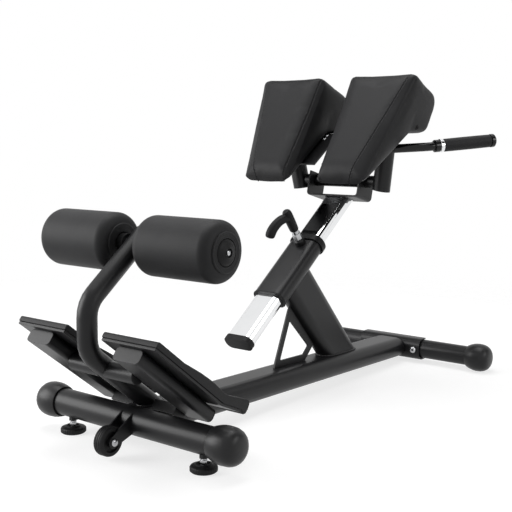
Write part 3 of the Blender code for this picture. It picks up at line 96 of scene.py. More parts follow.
def between(tree, source, low, high, target):
    """Feeds a socket with a noise stretched to run from low to high."""
    stretch = tree.nodes.new("ShaderNodeMapRange")
    stretch.inputs["From Min"].default_value = NOISE_LOW
    stretch.inputs["From Max"].default_value = NOISE_HIGH
    stretch.inputs["To Min"].default_value = low
    stretch.inputs["To Max"].default_value = high
    tree.links.new(source, stretch.inputs["Value"])
    tree.links.new(stretch.outputs["Result"], target)


def shade_between(tree, source, dark, light, target):
    """Feeds a colour socket with a mix of two colours by a noise."""
    ramp = tree.nodes.new("ShaderNodeValToRGB")
    ramp.color_ramp.elements[0].position = NOISE_LOW
    ramp.color_ramp.elements[0].color = (*dark, 1.0)
    ramp.color_ramp.elements[1].position = NOISE_HIGH
    ramp.color_ramp.elements[1].color = (*light, 1.0)
    tree.links.new(source, ramp.inputs["Fac"])
    tree.links.new(ramp.outputs["Color"], target)


def add_bump(tree, source, shader, strength, distance):
    """Relief from a height value, in metres."""
    bump = tree.nodes.new("ShaderNodeBump")
    bump.inputs["Strength"].default_value = strength
    bump.inputs["Distance"].default_value = distance
    tree.links.new(source, bump.inputs["Height"])
    tree.links.new(bump.outputs["Normal"], shader.inputs["Normal"])


def grained_material(name, dark, light, rough, grain_scale, blotch_scale, strength, distance, **sockets):
    """Finish whose shade drifts with the blotch, and whose gloss and relief follow the grain."""
    material, tree, shader = start_material(name, **sockets)
    _, grain = add_grain(tree, grain_scale, blotch_scale)
    shade_between(tree, grain.outputs["Blotch"], dark, light, shader.inputs["Base Color"])
    between(tree, grain.outputs["Grain"], rough[0], rough[1], shader.inputs["Roughness"])
    add_bump(tree, grain.outputs["Grain"], shader, strength, distance)
    return material


powder_coat = grained_material("powder_coat", dark=(0.0075, 0.0075, 0.0082), light=(0.0105, 0.0105, 0.0114),
                               rough=(0.34, 0.43), grain_scale=1400.0, blotch_scale=9.0,
                               strength=0.30, distance=0.00010, Specular_IOR_Level=0.26)

NODE_MERGE = 0.00001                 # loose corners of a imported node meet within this
FLAT_ANGLE = math.radians(1.0)       # faces that turn by less are one flat face
SHADING_WEIGHT = 80                  # how far the large faces lead the shading at an edge


def finish_node(name, material, edge, edge_angle=30.0, segments=2):
    """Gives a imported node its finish: edges softened as a coat or a mould leaves them, shaded smooth."""
    node = nodes[name]
    weld = node.modifiers.new("weld", "WELD")
    weld.merge_threshold = NODE_MERGE
    flat = node.modifiers.new("flat_faces", "DECIMATE")
    flat.decimate_type = "DISSOLVE"
    flat.angle_limit = FLAT_ANGLE
    soft = node.modifiers.new("soft_edges", "BEVEL")
    soft.width = edge
    soft.segments = segments
    soft.limit_method = "ANGLE"
    soft.angle_limit = math.radians(edge_angle)
    shading = node.modifiers.new("shading", "WEIGHTED_NORMAL")
    shading.weight = SHADING_WEIGHT
    for face in node.data.polygons:
        face.use_smooth = True
    node.data.materials.clear()
    node.data.materials.append(material)


finish_node("front_cross_tube", powder_coat, edge=0.0006)

# Bulged end caps
# Moulded rubber caps pushed over both ends of each cross tube. They bulge past the tube, and the rear
# pair stands on the floor.

cap_rubber = grained_material("cap_rubber", dark=(0.0085, 0.0085, 0.0092), light=(0.0125, 0.0125, 0.0134),
                              rough=(0.33, 0.42), grain_scale=900.0, blotch_scale=14.0,
                              strength=0.30, distance=0.00010, Specular_IOR_Level=0.28)
for end in ("front", "rear"):
    for side, _ in SIDES:
        finish_node(end + "_end_cap_" + side, cap_rubber, edge=0.0010)

LATHE_MERGE = 0.000002               # points of a turned piece that are nearer than this are joined


def lathe(profile, place, axis, steps=48, closed=False):
    """Turns a profile of (radius, height) points round an axis through a place."""
    bm = bmesh.new()
    verts = [bm.verts.new((radius, 0.0, height)) for radius, height in profile]
    edges = [bm.edges.new(pair) for pair in zip(verts, verts[1:])]
    if closed:
        edges.append(bm.edges.new((verts[-1], verts[0])))
    bmesh.ops.spin(bm, geom=verts + edges, cent=(0, 0, 0), axis=(0, 0, 1), angle=2 * math.pi, steps=steps,
                   use_merge=True)
    bmesh.ops.remove_doubles(bm, verts=bm.verts, dist=LATHE_MERGE)
    bmesh.ops.recalc_face_normals(bm, faces=bm.faces)
    turn = Vector(axis).normalized().to_track_quat("Z", "Y").to_matrix().to_4x4()
    bmesh.ops.transform(bm, verts=bm.verts, matrix=Matrix.Translation(place) @ turn)
    return bm


def round_edges(bm, edges, width, segments=2):
    """Rounds the edges that it is given."""
    bmesh.ops.bevel(bm, geom=edges, offset=width, offset_type="OFFSET", segments=segments, profile=0.5,
                    affect="EDGES", material=-1, clamp_overlap=True)


def soften(bm, width, segments=2, angle=25.0):
    """Rounds every edge that turns by more than an angle."""
    limit = math.radians(angle)
    sharp = [edge for edge in bm.edges if len(edge.link_faces) == 2 and edge.calc_face_angle() > limit]
    round_edges(bm, sharp, width, segments)


def show(name, bm, material, body, replaces=None):
    """Makes a finished bmesh a piece that rides on a body."""
    mesh = bpy.data.meshes.new(name)
    bm.to_mesh(mesh)
    bm.free()
    for face in mesh.polygons:
        face.use_smooth = True
    mesh.materials.append(material)
    piece = bpy.data.objects.new(name, mesh)
    bpy.context.scene.collection.objects.link(piece)
    shading = piece.modifiers.new("shading", "WEIGHTED_NORMAL")
    shading.weight = SHADING_WEIGHT
    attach(piece, body)
    if replaces:
        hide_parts(replaces)
    return piece


# Levelling feet
# A zinc plated stem screws into each foot nut, under a ribbed rubber pad with a socket for its flange.
# The thread is a helix on the stem, above its spanner flats.

FOOT_X = -0.5257
FOOT_Y = 0.2054
FOOT_RIM = 0.0300
FOOT_PROFILE = [(0.0, 0.0), (0.0270, 0.0), (FOOT_RIM, 0.0025), (FOOT_RIM, 0.0100), (0.0280, 0.0128),
                (0.0220, 0.0142), (0.0195, 0.0145), (0.0180, 0.0162), (0.0160, 0.0180), (0.0133, 0.0180),
                (0.0124, 0.0172), (0.0124, 0.0145), (0.0124, 0.0091), (0.0, 0.0091)]
FOOT_RIBS = 30
RIB_STEPS = 3                        # turned steps from one groove between ribs to the next
RIB_CUT = 0.955                      # a groove's share of the rim's radius
RIB_START = 0.0275                   # only points further out than this are cut
RIB_LOW = 0.002
RIB_HIGH = 0.0105
THREAD_PITCH = 0.0015
THREAD_ROOT = 0.0048
THREAD_CREST = 0.00545
THREAD_RIDGE = 0.0009                # how wide the ridge is at its root
THREAD_LOW = 0.0262
THREAD_TURNS = 10
THREAD_STEPS = 20

tread_rubber = grained_material("tread_rubber", dark=(0.0065, 0.0065, 0.0070), light=(0.0105, 0.0105, 0.0112),
                                rough=(0.46, 0.58), grain_scale=700.0, blotch_scale=30.0,
                                strength=0.40, distance=0.00018, Specular_IOR_Level=0.22)
zinc = grained_material("zinc", dark=(0.36, 0.365, 0.38), light=(0.52, 0.525, 0.53), rough=(0.20, 0.30),
                        grain_scale=500.0, blotch_scale=60.0, strength=0.10, distance=0.00008, Metallic=1.0)
foot_steps = RIB_STEPS * FOOT_RIBS
for side, sign in SIDES:
    foot_bm = lathe(FOOT_PROFILE, (FOOT_X, sign * FOOT_Y, 0.0), (0, 0, 1), steps=foot_steps)
    for vert in foot_bm.verts:
        across = Vector((vert.co.x - FOOT_X, vert.co.y - sign * FOOT_Y))
        turn = round(math.atan2(across.y, across.x) * foot_steps / (2.0 * math.pi))
        if across.length > RIB_START and RIB_LOW < vert.co.z < RIB_HIGH and turn % RIB_STEPS == 0:
            vert.co.x = FOOT_X + across.x * RIB_CUT
            vert.co.y = sign * FOOT_Y + across.y * RIB_CUT
    show("ribbed_foot_pad_" + side, foot_bm, tread_rubber, "levelling_pad_" + side,
         "foot_pad_" + side)
    finish_node("foot_stem_" + side, zinc, edge=0.0003)

    thread_bm = bmesh.new()
    ridge_section = ((THREAD_ROOT, 0, 0), (THREAD_CREST, 0, THREAD_RIDGE / 2), (THREAD_ROOT, 0, THREAD_RIDGE))
    ridge = [thread_bm.verts.new(point) for point in ridge_section]
    edges = [thread_bm.edges.new(pair) for pair in zip(ridge, ridge[1:] + ridge[:1])]
    bmesh.ops.spin(thread_bm, geom=ridge + edges, cent=(0, 0, 0), axis=(0, 0, 1),
                   steps=THREAD_TURNS * THREAD_STEPS, angle=2 * math.pi * THREAD_TURNS,
                   dvec=(0, 0, THREAD_PITCH / THREAD_STEPS))
    open_edges = [edge for edge in thread_bm.edges if edge.is_boundary]
    bmesh.ops.holes_fill(thread_bm, edges=open_edges, sides=0)
    bmesh.ops.recalc_face_normals(thread_bm, faces=thread_bm.faces)
    bmesh.ops.translate(thread_bm, verts=thread_bm.verts, vec=(FOOT_X, sign * FOOT_Y, THREAD_LOW))
    show("foot_thread_" + side, thread_bm, zinc, "levelling_screw_" + side)

# Transport wheel
# Moulded rubber wheel with a grooved tread and a recessed web, on a zinc bolt between two fork plates
# that are welded to the front tube.

WHEEL_PLACE = (-0.6044, 0.0, 0.0421)
WHEEL_PROFILE = [(0.0056, 0.0139), (0.0118, 0.0139), (0.0125, 0.0070), (0.0218, 0.0066), (0.0228, 0.0118),
                 (0.0236, 0.0130), (0.0300, 0.0130), (0.0322, 0.0108), (0.0330, 0.0080), (0.0330, 0.0068),
                 (0.0318, 0.0062), (0.0318, 0.0052), (0.0330, 0.0046), (0.0330, 0.0011), (0.0318, 0.0006)]

finish_node("wheel_fork_left", powder_coat, edge=0.0006)
finish_node("wheel_fork_right", powder_coat, edge=0.0006)
finish_node("wheel_bolt", zinc, edge=0.0004)
wheel_ring = WHEEL_PROFILE + [(radius, -height) for radius, height in reversed(WHEEL_PROFILE)]
wheel_bm = lathe(wheel_ring, WHEEL_PLACE, (0, 1, 0), steps=64, closed=True)
soften(wheel_bm, width=0.0004, angle=40.0)
show("grooved_wheel", wheel_bm, tread_rubber, "wheel", "transport_wheel")

# Main beam, rear tube and saddle
# Flat oval steel beam, in the same powder coat. Its rear end sits in a bent saddle plate, which two
# bright socket screws hold to the rear tube.

SADDLE_FACE_X = 0.6080
SADDLE_SCREW_Y = 0.087
REAR_TUBE_Z = 0.042
SCREW_CAP = [(0.0, 0.0048), (0.0036, 0.0048), (0.0038, 0.0086), (0.0062, 0.0085), (0.0086, 0.0072),
             (0.0102, 0.0040), (0.0104, 0.0008), (0.0104, -0.0001), (0.0, -0.0001)]

for name, edge in (("main_beam", 0.0010), ("rear_cross_tube", 0.0006), ("rear_saddle", 0.0008)):
    finish_node(name, powder_coat, edge)
for side, sign in SIDES:
    screw_bm = lathe(SCREW_CAP, (SADDLE_FACE_X, sign * SADDLE_SCREW_Y, REAR_TUBE_Z), (-1, 0, 0), steps=36)
    show("saddle_screw_" + side, screw_bm, zinc, "base_frame")

# Column, gusset and guide sleeve
# Leaning flat oval steel column with a plate gusset, and the sleeve that guides the post in two plastic
# bushes. Column and roller arm are welded to the beam's flat top, so each foot has a rippled bead.

BEAM_TOP = (-0.5257, 0.0, 0.0985)
BEAM_NORMAL = (0.0227, 0.0, 0.9997)
BEAD_RADIUS = 0.0030
BEAD_STEP = 0.0028                   # from one point along the bead to the next
BEAD_LIFT = 0.0010                   # the bead's middle above the beam's skin
RIPPLE = 0.14                        # share by which the ripples swell the bead
RIPPLE_TURN = 2.1                    # radians of a ripple from one point to the next
CUT_REACH = 0.000001

black_plastic = grained_material("black_plastic", dark=(0.0055, 0.0055, 0.0060),
                                 light=(0.0085, 0.0085, 0.0090), rough=(0.44, 0.54), grain_scale=1100.0,
                                 blotch_scale=25.0, strength=0.25, distance=0.00010,
                                 Specular_IOR_Level=0.16)
for name, edge in (("upright_column", 0.0012), ("gusset_plate", 0.0008), ("guide_sleeve", 0.0008)):
    finish_node(name, powder_coat, edge)
for name in ("sleeve_bush_lower", "sleeve_bush_upper"):
    finish_node(name, black_plastic, edge=0.0006)


def section_loop(node, place, normal):
    """The longest closed loop in which a plane cuts a node, as points in order."""
    bm = bmesh.new()
    bm.from_mesh(nodes[node].data)
    bmesh.ops.remove_doubles(bm, verts=bm.verts, dist=NODE_MERGE)
    bmesh.ops.bisect_plane(bm, geom=bm.verts[:] + bm.edges[:] + bm.faces[:], dist=CUT_REACH,
                           plane_co=place, plane_no=normal, clear_inner=True, clear_outer=True)
    left = set(bm.verts)
    loops = []
    while left:
        vert = min(left, key=lambda v: (round(v.co.x, 5), round(v.co.y, 5)))
        loop = []
        while vert:
            left.discard(vert)
            loop.append(vert.co.copy())
            onward = [edge.other_vert(vert) for edge in vert.link_edges if edge.other_vert(vert) in left]
            vert = onward[0] if onward else None
        loops.append(loop)
    bm.free()
    return max(loops, key=lambda loop: sum((a - b).length for a, b in zip(loop, loop[1:])))


def weld_bead(name, loop, body):
    """Rippled bead of weld metal along a closed loop."""
    points = []
    for start, finish in zip(loop, loop[1:] + loop[:1]):
        count = max(1, round((finish - start).length / BEAD_STEP))
        points += [start.lerp(finish, step / count) for step in range(count)]
    path = bpy.data.curves.new(name, "CURVE")
    path.dimensions = "3D"
    path.bevel_depth = BEAD_RADIUS
    path.bevel_resolution = 2
    line = path.splines.new("POLY")
    line.points.add(len(points) - 1)
    line.use_cyclic_u = True
    for index, point in enumerate(points):
        line.points[index].co = (*point, 1.0)
        line.points[index].radius = 1.0 + RIPPLE * math.sin(index * RIPPLE_TURN)
    holder = bpy.data.objects.new(name + "_path", path)
    bpy.context.scene.collection.objects.link(holder)
    bpy.context.view_layer.update()
    mesh = bpy.data.meshes.new_from_object(holder.evaluated_get(bpy.context.evaluated_depsgraph_get()))
    bpy.data.objects.remove(holder, do_unlink=True)
    bead_bm = bmesh.new()
    bead_bm.from_mesh(mesh)
    bpy.data.meshes.remove(mesh)
    show(name, bead_bm, powder_coat, body)


beam_skin = Vector(BEAM_TOP) + Vector(BEAM_NORMAL) * BEAD_LIFT
for name, node in (("column_foot_bead", "upright_column"), ("arm_foot_bead", "roller_arm")):
    weld_bead(name, section_loop(node, beam_skin, BEAM_NORMAL), "base_frame")

# Clamp
# Welded boss, zinc screw with a tall nut, and a fat bent lever moulded in black plastic over its hub.
# Heights are from the post's axis, along the clamp's own axis; the arm's points are height, reach, radius.

CLAMP_PLACE = Vector((0.12142, 0.0, 0.39405))
CLAMP_UP = Vector((-0.60460, 0.0, 0.79653))
LEVER_OUT = Vector((-0.77912, 0.20791, -0.59139))
LEVER_HUB = [(0.0063, 0.0925), (0.0063, 0.0735), (0.0102, 0.0728), (0.0122, 0.0750), (0.0130, 0.0900),
             (0.0133, 0.1120), (0.0133, 0.1240), (0.0127, 0.1320), (0.0110, 0.1372), (0.0078, 0.1404),
             (0.0, 0.1418)]
LEVER_PATH = [(0.1150, 0.0000, 0.0112), (0.1195, 0.0060, 0.0118), (0.1245, 0.0130, 0.0123),
              (0.1285, 0.0230, 0.0125), (0.1302, 0.0340, 0.0126), (0.1300, 0.0460, 0.0128),
              (0.1282, 0.0570, 0.0131), (0.1248, 0.0665, 0.0134), (0.1204, 0.0740, 0.0134),
              (0.1166, 0.0786, 0.0126), (0.1143, 0.0812, 0.0102), (0.1128, 0.0829, 0.0060)]
LEVER_SIDES = 24
LEVER_END_ROUND = 0.0045

finish_node("clamp_boss", powder_coat, edge=0.0006)
finish_node("clamp_screw", zinc, edge=0.0004)
finish_node("clamp_pad", black_plastic, edge=0.0003)
lever_bm = lathe(LEVER_HUB, CLAMP_PLACE, CLAMP_UP, steps=32)
soften(lever_bm, width=0.0006, angle=30.0)
centres = [CLAMP_PLACE + CLAMP_UP * up + LEVER_OUT * out for up, out, _ in LEVER_PATH]
rings = []
for index, (_, _, radius) in enumerate(LEVER_PATH):
    ahead = centres[min(index + 1, len(centres) - 1)] - centres[max(index - 1, 0)]
    face = ahead.normalized().to_track_quat("Z", "X").to_matrix().to_4x4()
    at_end = index in (0, len(LEVER_PATH) - 1)
    ring = bmesh.ops.create_circle(lever_bm, cap_ends=at_end, segments=LEVER_SIDES, radius=radius,
                                   matrix=Matrix.Translation(centres[index]) @ face)
    ring_edges = {edge for vert in ring["verts"] for edge in vert.link_edges}
    if rings:
        bmesh.ops.bridge_loops(lever_bm, edges=list(rings[-1] | ring_edges))
    rings.append(ring_edges)
round_edges(lever_bm, [edge for edge in rings[-1] if edge.is_valid], LEVER_END_ROUND, segments=4)
bmesh.ops.recalc_face_normals(lever_bm, faces=lever_bm.faces)
show("clamp_lever_moulding", lever_bm, black_plastic, "clamp_lever", "clamp_handle")

# Inner post
# Chromed flat oval steel tube that slides in the two bushes of the sleeve. A plastic cap is pressed into
# its lower end, and the hip carriage is welded on its upper end.

chrome = grained_material("chrome", dark=(0.76, 0.77, 0.78), light=(0.84, 0.845, 0.85), rough=(0.035, 0.07),
                          grain_scale=60.0, blotch_scale=6.0, strength=0.02, distance=0.00002, Metallic=1.0)
finish_node("inner_post", chrome, edge=0.0021, edge_angle=5.0, segments=3)
finish_node("post_end_cap", black_plastic, edge=0.0008)

# Hip carriage frame
# Welded steel: a U bracket on the post, a crossbar, two leaning posts and the bent plates that the pads
# are screwed to. Two bright button heads sit on each plate, under the rounded inner edge of its pad.

PLATE_BEND = Vector((0.3047, 0.0, 0.7126))
PLATE_DOWN = Vector((-0.822, 0.0, -0.569))
PLATE_UP = Vector((-0.569, 0.0, 0.822))
BUTTON_ALONG = (0.010, 0.026)
BUTTON_Y = 0.0465
BUTTON_SINK = 0.0002
BUTTON_HEAD = [(0.0, 0.0012), (0.0022, 0.0012), (0.0024, 0.0026), (0.0046, 0.0022), (0.0060, 0.0008),
               (0.0062, -0.0002), (0.0, -0.0002)]

for name, edge in (("carriage_bracket", 0.0008), ("carriage_crossbar", 0.0006)):
    finish_node(name, powder_coat, edge)
for side, sign in SIDES:
    finish_node("pad_post_" + side, powder_coat, edge=0.0008)
    finish_node("pad_plate_" + side, powder_coat, edge=0.0006)
    for number, along in enumerate(BUTTON_ALONG, 1):
        place = PLATE_BEND + PLATE_DOWN * along + Vector((0, sign * BUTTON_Y, 0)) - PLATE_UP * BUTTON_SINK
        button_bm = lathe(BUTTON_HEAD, place, PLATE_UP, steps=28)
        show("plate_button_" + side + "_" + str(number), button_bm, zinc, "hip_carriage")

# Hip pads
# Two thick foam blocks in black leatherette, sewn along both edges of the front panel, with a vent on
# the outer side. The cover is puffed by a short cloth simulation, and the welts are pressed in after it.
# Pairs are values at the pad's lower and upper end; depths are measured in from the front panel.

PAD_PROFILE = [(0.2657, 0.8752), (0.4247, 0.8153), (0.3980, 0.7156), (0.3047, 0.7126), (0.1156, 0.5816),
               (0.0811, 0.5885)]
PAD_TOP_Z = 0.8752
PAD_LOW_Z = 0.5816
PAD_INNER = (0.043, 0.040)           # distance of the inner side from the bench's middle
PAD_OUTER = (0.197, 0.258)           # and of the outer side
PAD_EDGE = 0.018
PAD_BACK_ROUND = 0.038               # rounding of the rear upper edge
PAD_DIGITS = 5                       # the block's corners are rounded so far, so that each run gives one pad
PAD_VOXEL = 0.005
SAME_PLACE = 0.0001                  # points nearer than this are one place
OUTER_WELT = (-0.0205, 0.2945)       # a sewn line's distance from the middle at the floor, and its slope
INNER_WELT = (0.0760, -0.0280)
WELT_DEPTH = 0.0024
WELT_HALF = 0.0015
WELT_SWELL = 0.0003                  # how far the cover stands up or sinks beside the stitches
WELT_MERGE = 0.0002
LOW_ROUND = 0.056                    # rounding of the front panel into the lower end
LOW_END_DEPTH = 0.034                # depth to which the lower corners are rounded
LOW_END_RISE = 0.39                  # how the lower end and the top lean, per depth
TOP_END_RISE = 0.215
INNER_SLOPE = 1.3                    # fall past the inner welt
INNER_ROLL = (0.024, 0.0068)         # width and depth of the roll before the inner welt
OUTER_SLOPE = 0.30                   # fall at the outer welt, and at the side it turns into
OUTER_FALL = (0.62, 0.36)
CORNER_ROUND = {"outer_low": 0.026, "outer_top": 0.015, "inner_low": 0.018, "inner_top": 0.014}
REST_NORMAL = -0.62                  # faces that point further down than this rest on the plates
REST_BLEND = 0.30
PAD_SHRINK = 0.0004
CLOTH_PRESSURE = 4.0
CLOTH_FRAMES = 20
PUFF_SHARE = 0.28                    # share of the swelling that is kept, and the most it may move a point
PAD_CAP = 0.0025
PEBBLE_SCALE = 620.0
PEBBLE_RELIEF = 0.12                 # the pebbles' share of the relief; the slow wrinkles have the rest
WRINKLE_SCALE = 22.0


def leather_material():
    """Leatherette: pressed pebble grain over soft, slow wrinkles of the cover."""
    material, tree, shader = start_material("leatherette", Specular_IOR_Level=0.19)
    place, grain = add_grain(tree, grain_scale=1500.0, blotch_scale=8.0)
    shade_between(tree, grain.outputs["Blotch"], (0.0100, 0.0100, 0.0108), (0.0130, 0.0130, 0.0139),
                  shader.inputs["Base Color"])
    pebble = tree.nodes.new("ShaderNodeTexVoronoi")
    pebble.inputs["Scale"].default_value = PEBBLE_SCALE
    tree.links.new(place.outputs["Object"], pebble.inputs["Vector"])
    between(tree, pebble.outputs["Distance"], 0.44, 0.56, shader.inputs["Roughness"])
    wrinkle = tree.nodes.new("ShaderNodeTexNoise")
    wrinkle.inputs["Scale"].default_value = WRINKLE_SCALE
    wrinkle.inputs["Detail"].default_value = 2.0
    tree.links.new(place.outputs["Object"], wrinkle.inputs["Vector"])
    relief = tree.nodes.new("ShaderNodeMath")
    relief.operation = "MULTIPLY_ADD"
    relief.inputs[1].default_value = PEBBLE_RELIEF
    tree.links.new(pebble.outputs["Distance"], relief.inputs[0])
    tree.links.new(wrinkle.outputs["Fac"], relief.inputs[2])
    add_bump(tree, relief.outputs[0], shader, strength=0.35, distance=0.0012)
    return material


def at_height(pair, z):
    """A measure of the pad at a height, between its lower and its upper value."""
    return pair[0] + (pair[1] - pair[0]) * (z - PAD_LOW_Z) / (PAD_TOP_Z - PAD_LOW_Z)


def applied(piece):
    """Makes a piece's modifiers part of its mesh."""
    bpy.context.view_layer.update()
    mesh = bpy.data.meshes.new_from_object(piece.evaluated_get(bpy.context.evaluated_depsgraph_get()))
    old = piece.data
    piece.modifiers.clear()
    piece.data = mesh
    bpy.data.meshes.remove(old)


def welt_at(line, z):
    """A sewn line's distance from the bench's middle at a height."""
    return line[0] + line[1] * z


def rolled_off(reach):
    """Depth at the inner side: the panel rolls off before the welt and falls steeply past it."""
    width, depth = INNER_ROLL
    if reach >= 0.0:
        return depth + INNER_SLOPE * reach
    return depth * max(0.0, 1.0 + reach / width) ** 2


def rounded_off(reach, band, fall):
    """Depth past the outer welt: a slope that turns into a full round at the side."""
    share = min(max(reach / band, 0.0), 1.0)
    turned = 1.0 - math.sqrt(1.0 - share ** 2)
    return OUTER_SLOPE * share * band + (fall - OUTER_SLOPE) * band * turned


def rounded_end(up_panel):
    """Depth near the lower end, where the panel is part of a cylinder."""
    if up_panel >= LOW_ROUND:
        return 0.0
    return LOW_ROUND - math.sqrt(LOW_ROUND ** 2 - (LOW_ROUND - up_panel) ** 2)


def round_corners(vert, up_panel, depth, height, rise):
    """Moves a point that is in one of the panel's four corners onto the corner's rounding."""
    z = vert.co.z
    low_along = up_panel - LOW_END_RISE * depth if depth < LOW_END_DEPTH else height
    top_along = height + TOP_END_RISE * depth - up_panel
    for end, along, onward in (("low", low_along, 1.0), ("top", top_along, -1.0)):
        for side, out, turn in (("outer", at_height(PAD_OUTER, z) - vert.co.y, -1.0),
                                ("inner", vert.co.y - at_height(PAD_INNER, z), 1.0)):
            round_off = CORNER_ROUND[side + "_" + end]
            from_centre = Vector((round_off - out, round_off - along))
            if min(from_centre) > 0.0 and from_centre.length > round_off:
                shift = from_centre * (1.0 - round_off / from_centre.length)
                vert.co.y += turn * shift.x
                vert.co += rise * shift.y * onward


def press_edges(mesh):
    """Rolls the front panel off to its welts, and rounds its lower end and its four corners."""
    low_corner = Vector((PAD_PROFILE[5][0], 0.0, PAD_PROFILE[5][1]))
    rise = Vector((PAD_PROFILE[0][0], 0.0, PAD_PROFILE[0][1])) - low_corner
    height = rise.length
    rise.normalize()
    inward = Vector((rise.z, 0.0, -rise.x))
    for vert in mesh.vertices:
        z = vert.co.z
        offset = vert.co - low_corner
        round_corners(vert, offset.dot(rise), offset.dot(inward), height, rise)
        offset = vert.co - low_corner
        depth = offset.dot(inward)
        band = at_height(PAD_OUTER, z) - welt_at(OUTER_WELT, z)
        outer_depth = rounded_off(vert.co.y - welt_at(OUTER_WELT, z), band, at_height(OUTER_FALL, z))
        inner_depth = rolled_off(welt_at(INNER_WELT, z) - vert.co.y)
        wanted = max(outer_depth, inner_depth, rounded_end(max(offset.dot(rise), 0.0)))
        if depth < wanted:
            vert.co += inward * (wanted - depth)


def smooth_out(mesh, rounds):
    """Evens out a mesh's surface a little."""
    bm = bmesh.new()
    bm.from_mesh(mesh)
    for _ in range(rounds):
        bmesh.ops.smooth_vert(bm, verts=bm.verts, factor=0.5, use_axis_x=True, use_axis_y=True,
                              use_axis_z=True)
    bm.to_mesh(mesh)
    bm.free()


def freedom(vert):
    """1 where the cover is free to move, and 0 where it faces down onto its plate."""
    return min(1.0, max(0.0, (vert.normal.z - REST_NORMAL) / REST_BLEND))


def puff(piece):
    """Inflates the cover a little; what rests on the plates stays, and no point moves far."""
    start = [vert.co.copy() for vert in piece.data.vertices]
    free = [freedom(vert) for vert in piece.data.vertices]
    cloth = piece.modifiers.new("puff", "CLOTH")
    cloth.settings.use_pressure = True
    cloth.settings.uniform_pressure_force = CLOTH_PRESSURE
    cloth.settings.effector_weights.gravity = 0.0
    cloth.point_cache.frame_start = 1
    cloth.point_cache.frame_end = CLOTH_FRAMES
    for step in range(1, CLOTH_FRAMES + 1):
        bpy.context.scene.frame_set(step)
    puffed = piece.evaluated_get(bpy.context.evaluated_depsgraph_get())
    moved = [vert.co.copy() for vert in puffed.data.vertices]
    piece.modifiers.clear()
    bpy.context.scene.frame_set(1)
    for vert, place, was, share in zip(piece.data.vertices, moved, start, free):
        shift = (place - was) * share * PUFF_SHARE
        if shift.length > PAD_CAP:
            shift *= PAD_CAP / shift.length
        vert.co = was + shift


def press_welt(bm, line):
    """Cuts five rows of points along a sewn line round the pad and presses the middle row in."""
    flat = Vector((0.0, 1.0, -line[1])).normalized()
    rows = ((-2 * WELT_HALF, -WELT_SWELL), (2 * WELT_HALF, -WELT_SWELL), (-WELT_HALF, WELT_SWELL),
            (WELT_HALF, WELT_SWELL), (0.0, WELT_DEPTH))
    for offset, depth in rows:
        place = Vector((0.0, line[0], 0.0)) + flat * offset
        cut = bmesh.ops.bisect_plane(bm, geom=bm.verts[:] + bm.edges[:] + bm.faces[:], dist=WELT_MERGE,
                                     plane_co=place, plane_no=flat)
        row = [item for item in cut["geom_cut"] if isinstance(item, bmesh.types.BMVert)]
        bm.normal_update()
        for vert in row:
            vert.co -= vert.normal * depth


leatherette = leather_material()
pad_bm = bmesh.new()
near_ring = [pad_bm.verts.new((x, at_height(PAD_INNER, z), z)) for x, z in PAD_PROFILE]
side_face = pad_bm.faces.new(near_ring)
grown = bmesh.ops.extrude_face_region(pad_bm, geom=[side_face])
for item in grown["geom"]:
    if isinstance(item, bmesh.types.BMVert):
        item.co.y = at_height(PAD_OUTER, item.co.z)
bmesh.ops.recalc_face_normals(pad_bm, faces=pad_bm.faces)
back_top = Vector(PAD_PROFILE[1])
back_edge = [edge for edge in pad_bm.edges
             if all((vert.co.xz - back_top).length < SAME_PLACE for vert in edge.verts)]
round_edges(pad_bm, back_edge, PAD_BACK_ROUND, segments=6)
soften(pad_bm, width=PAD_EDGE, segments=5, angle=45.0)
for vert in pad_bm.verts:
    vert.co = [round(value, PAD_DIGITS) for value in vert.co]
start_mesh = bpy.data.meshes.new("pad_start")
pad_bm.to_mesh(start_mesh)
pad_bm.free()
pad_form = bpy.data.objects.new("pad_form", start_mesh)
bpy.context.scene.collection.objects.link(pad_form)
voxels = pad_form.modifiers.new("voxels", "REMESH")
voxels.mode = "VOXEL"
voxels.voxel_size = PAD_VOXEL
applied(pad_form)
press_edges(pad_form.data)
smooth_out(pad_form.data, 3)
for vert in pad_form.data.vertices:
    vert.co -= vert.normal * PAD_SHRINK * freedom(vert)
puff(pad_form)
smooth_out(pad_form.data, 2)
finer = pad_form.modifiers.new("finer", "SUBSURF")
finer.levels = 1
finer.render_levels = 1
applied(pad_form)
sewn_bm = bmesh.new()
sewn_bm.from_mesh(pad_form.data)
bpy.data.objects.remove(pad_form, do_unlink=True)
press_welt(sewn_bm, OUTER_WELT)
press_welt(sewn_bm, INNER_WELT)
bmesh.ops.recalc_face_normals(sewn_bm, faces=sewn_bm.faces)

VENT_PLACE = Vector((0.3300, 0.2245, 0.7300))
VENT_RING = [(0.0026, -0.0008), (0.0030, 0.0014), (0.0052, 0.0018), (0.0068, 0.0006), (0.0070, -0.0008)]
vent_vert = min(sewn_bm.verts, key=lambda v: (v.co - VENT_PLACE).length)
vent_place, vent_heading = vent_vert.co.copy(), vent_vert.normal.copy()
for side, sign in SIDES:
    side_bm = sewn_bm.copy()
    if sign < 0:
        bmesh.ops.scale(side_bm, vec=(1.0, -1.0, 1.0), verts=side_bm.verts)
        bmesh.ops.reverse_faces(side_bm, faces=side_bm.faces)
    hip_pad = show("sewn_hip_pad_" + side, side_bm, leatherette, "hip_carriage",
                   "hip_pad_" + side)
    hip_pad.modifiers.clear()
    flip = Vector((1.0, sign, 1.0))
    vent_bm = lathe(VENT_RING, vent_place * flip, vent_heading * flip, steps=24, closed=True)
    show("pad_vent_" + side, vent_bm, black_plastic, "hip_carriage")
sewn_bm.free()

# Handles
# Gloss black steel bars that leave the pad posts, each with a black seat ring, a chromed collar, a foam
# grip pushed over its end, and a bright disc on its end plug. Heights are along the grip's own axis.

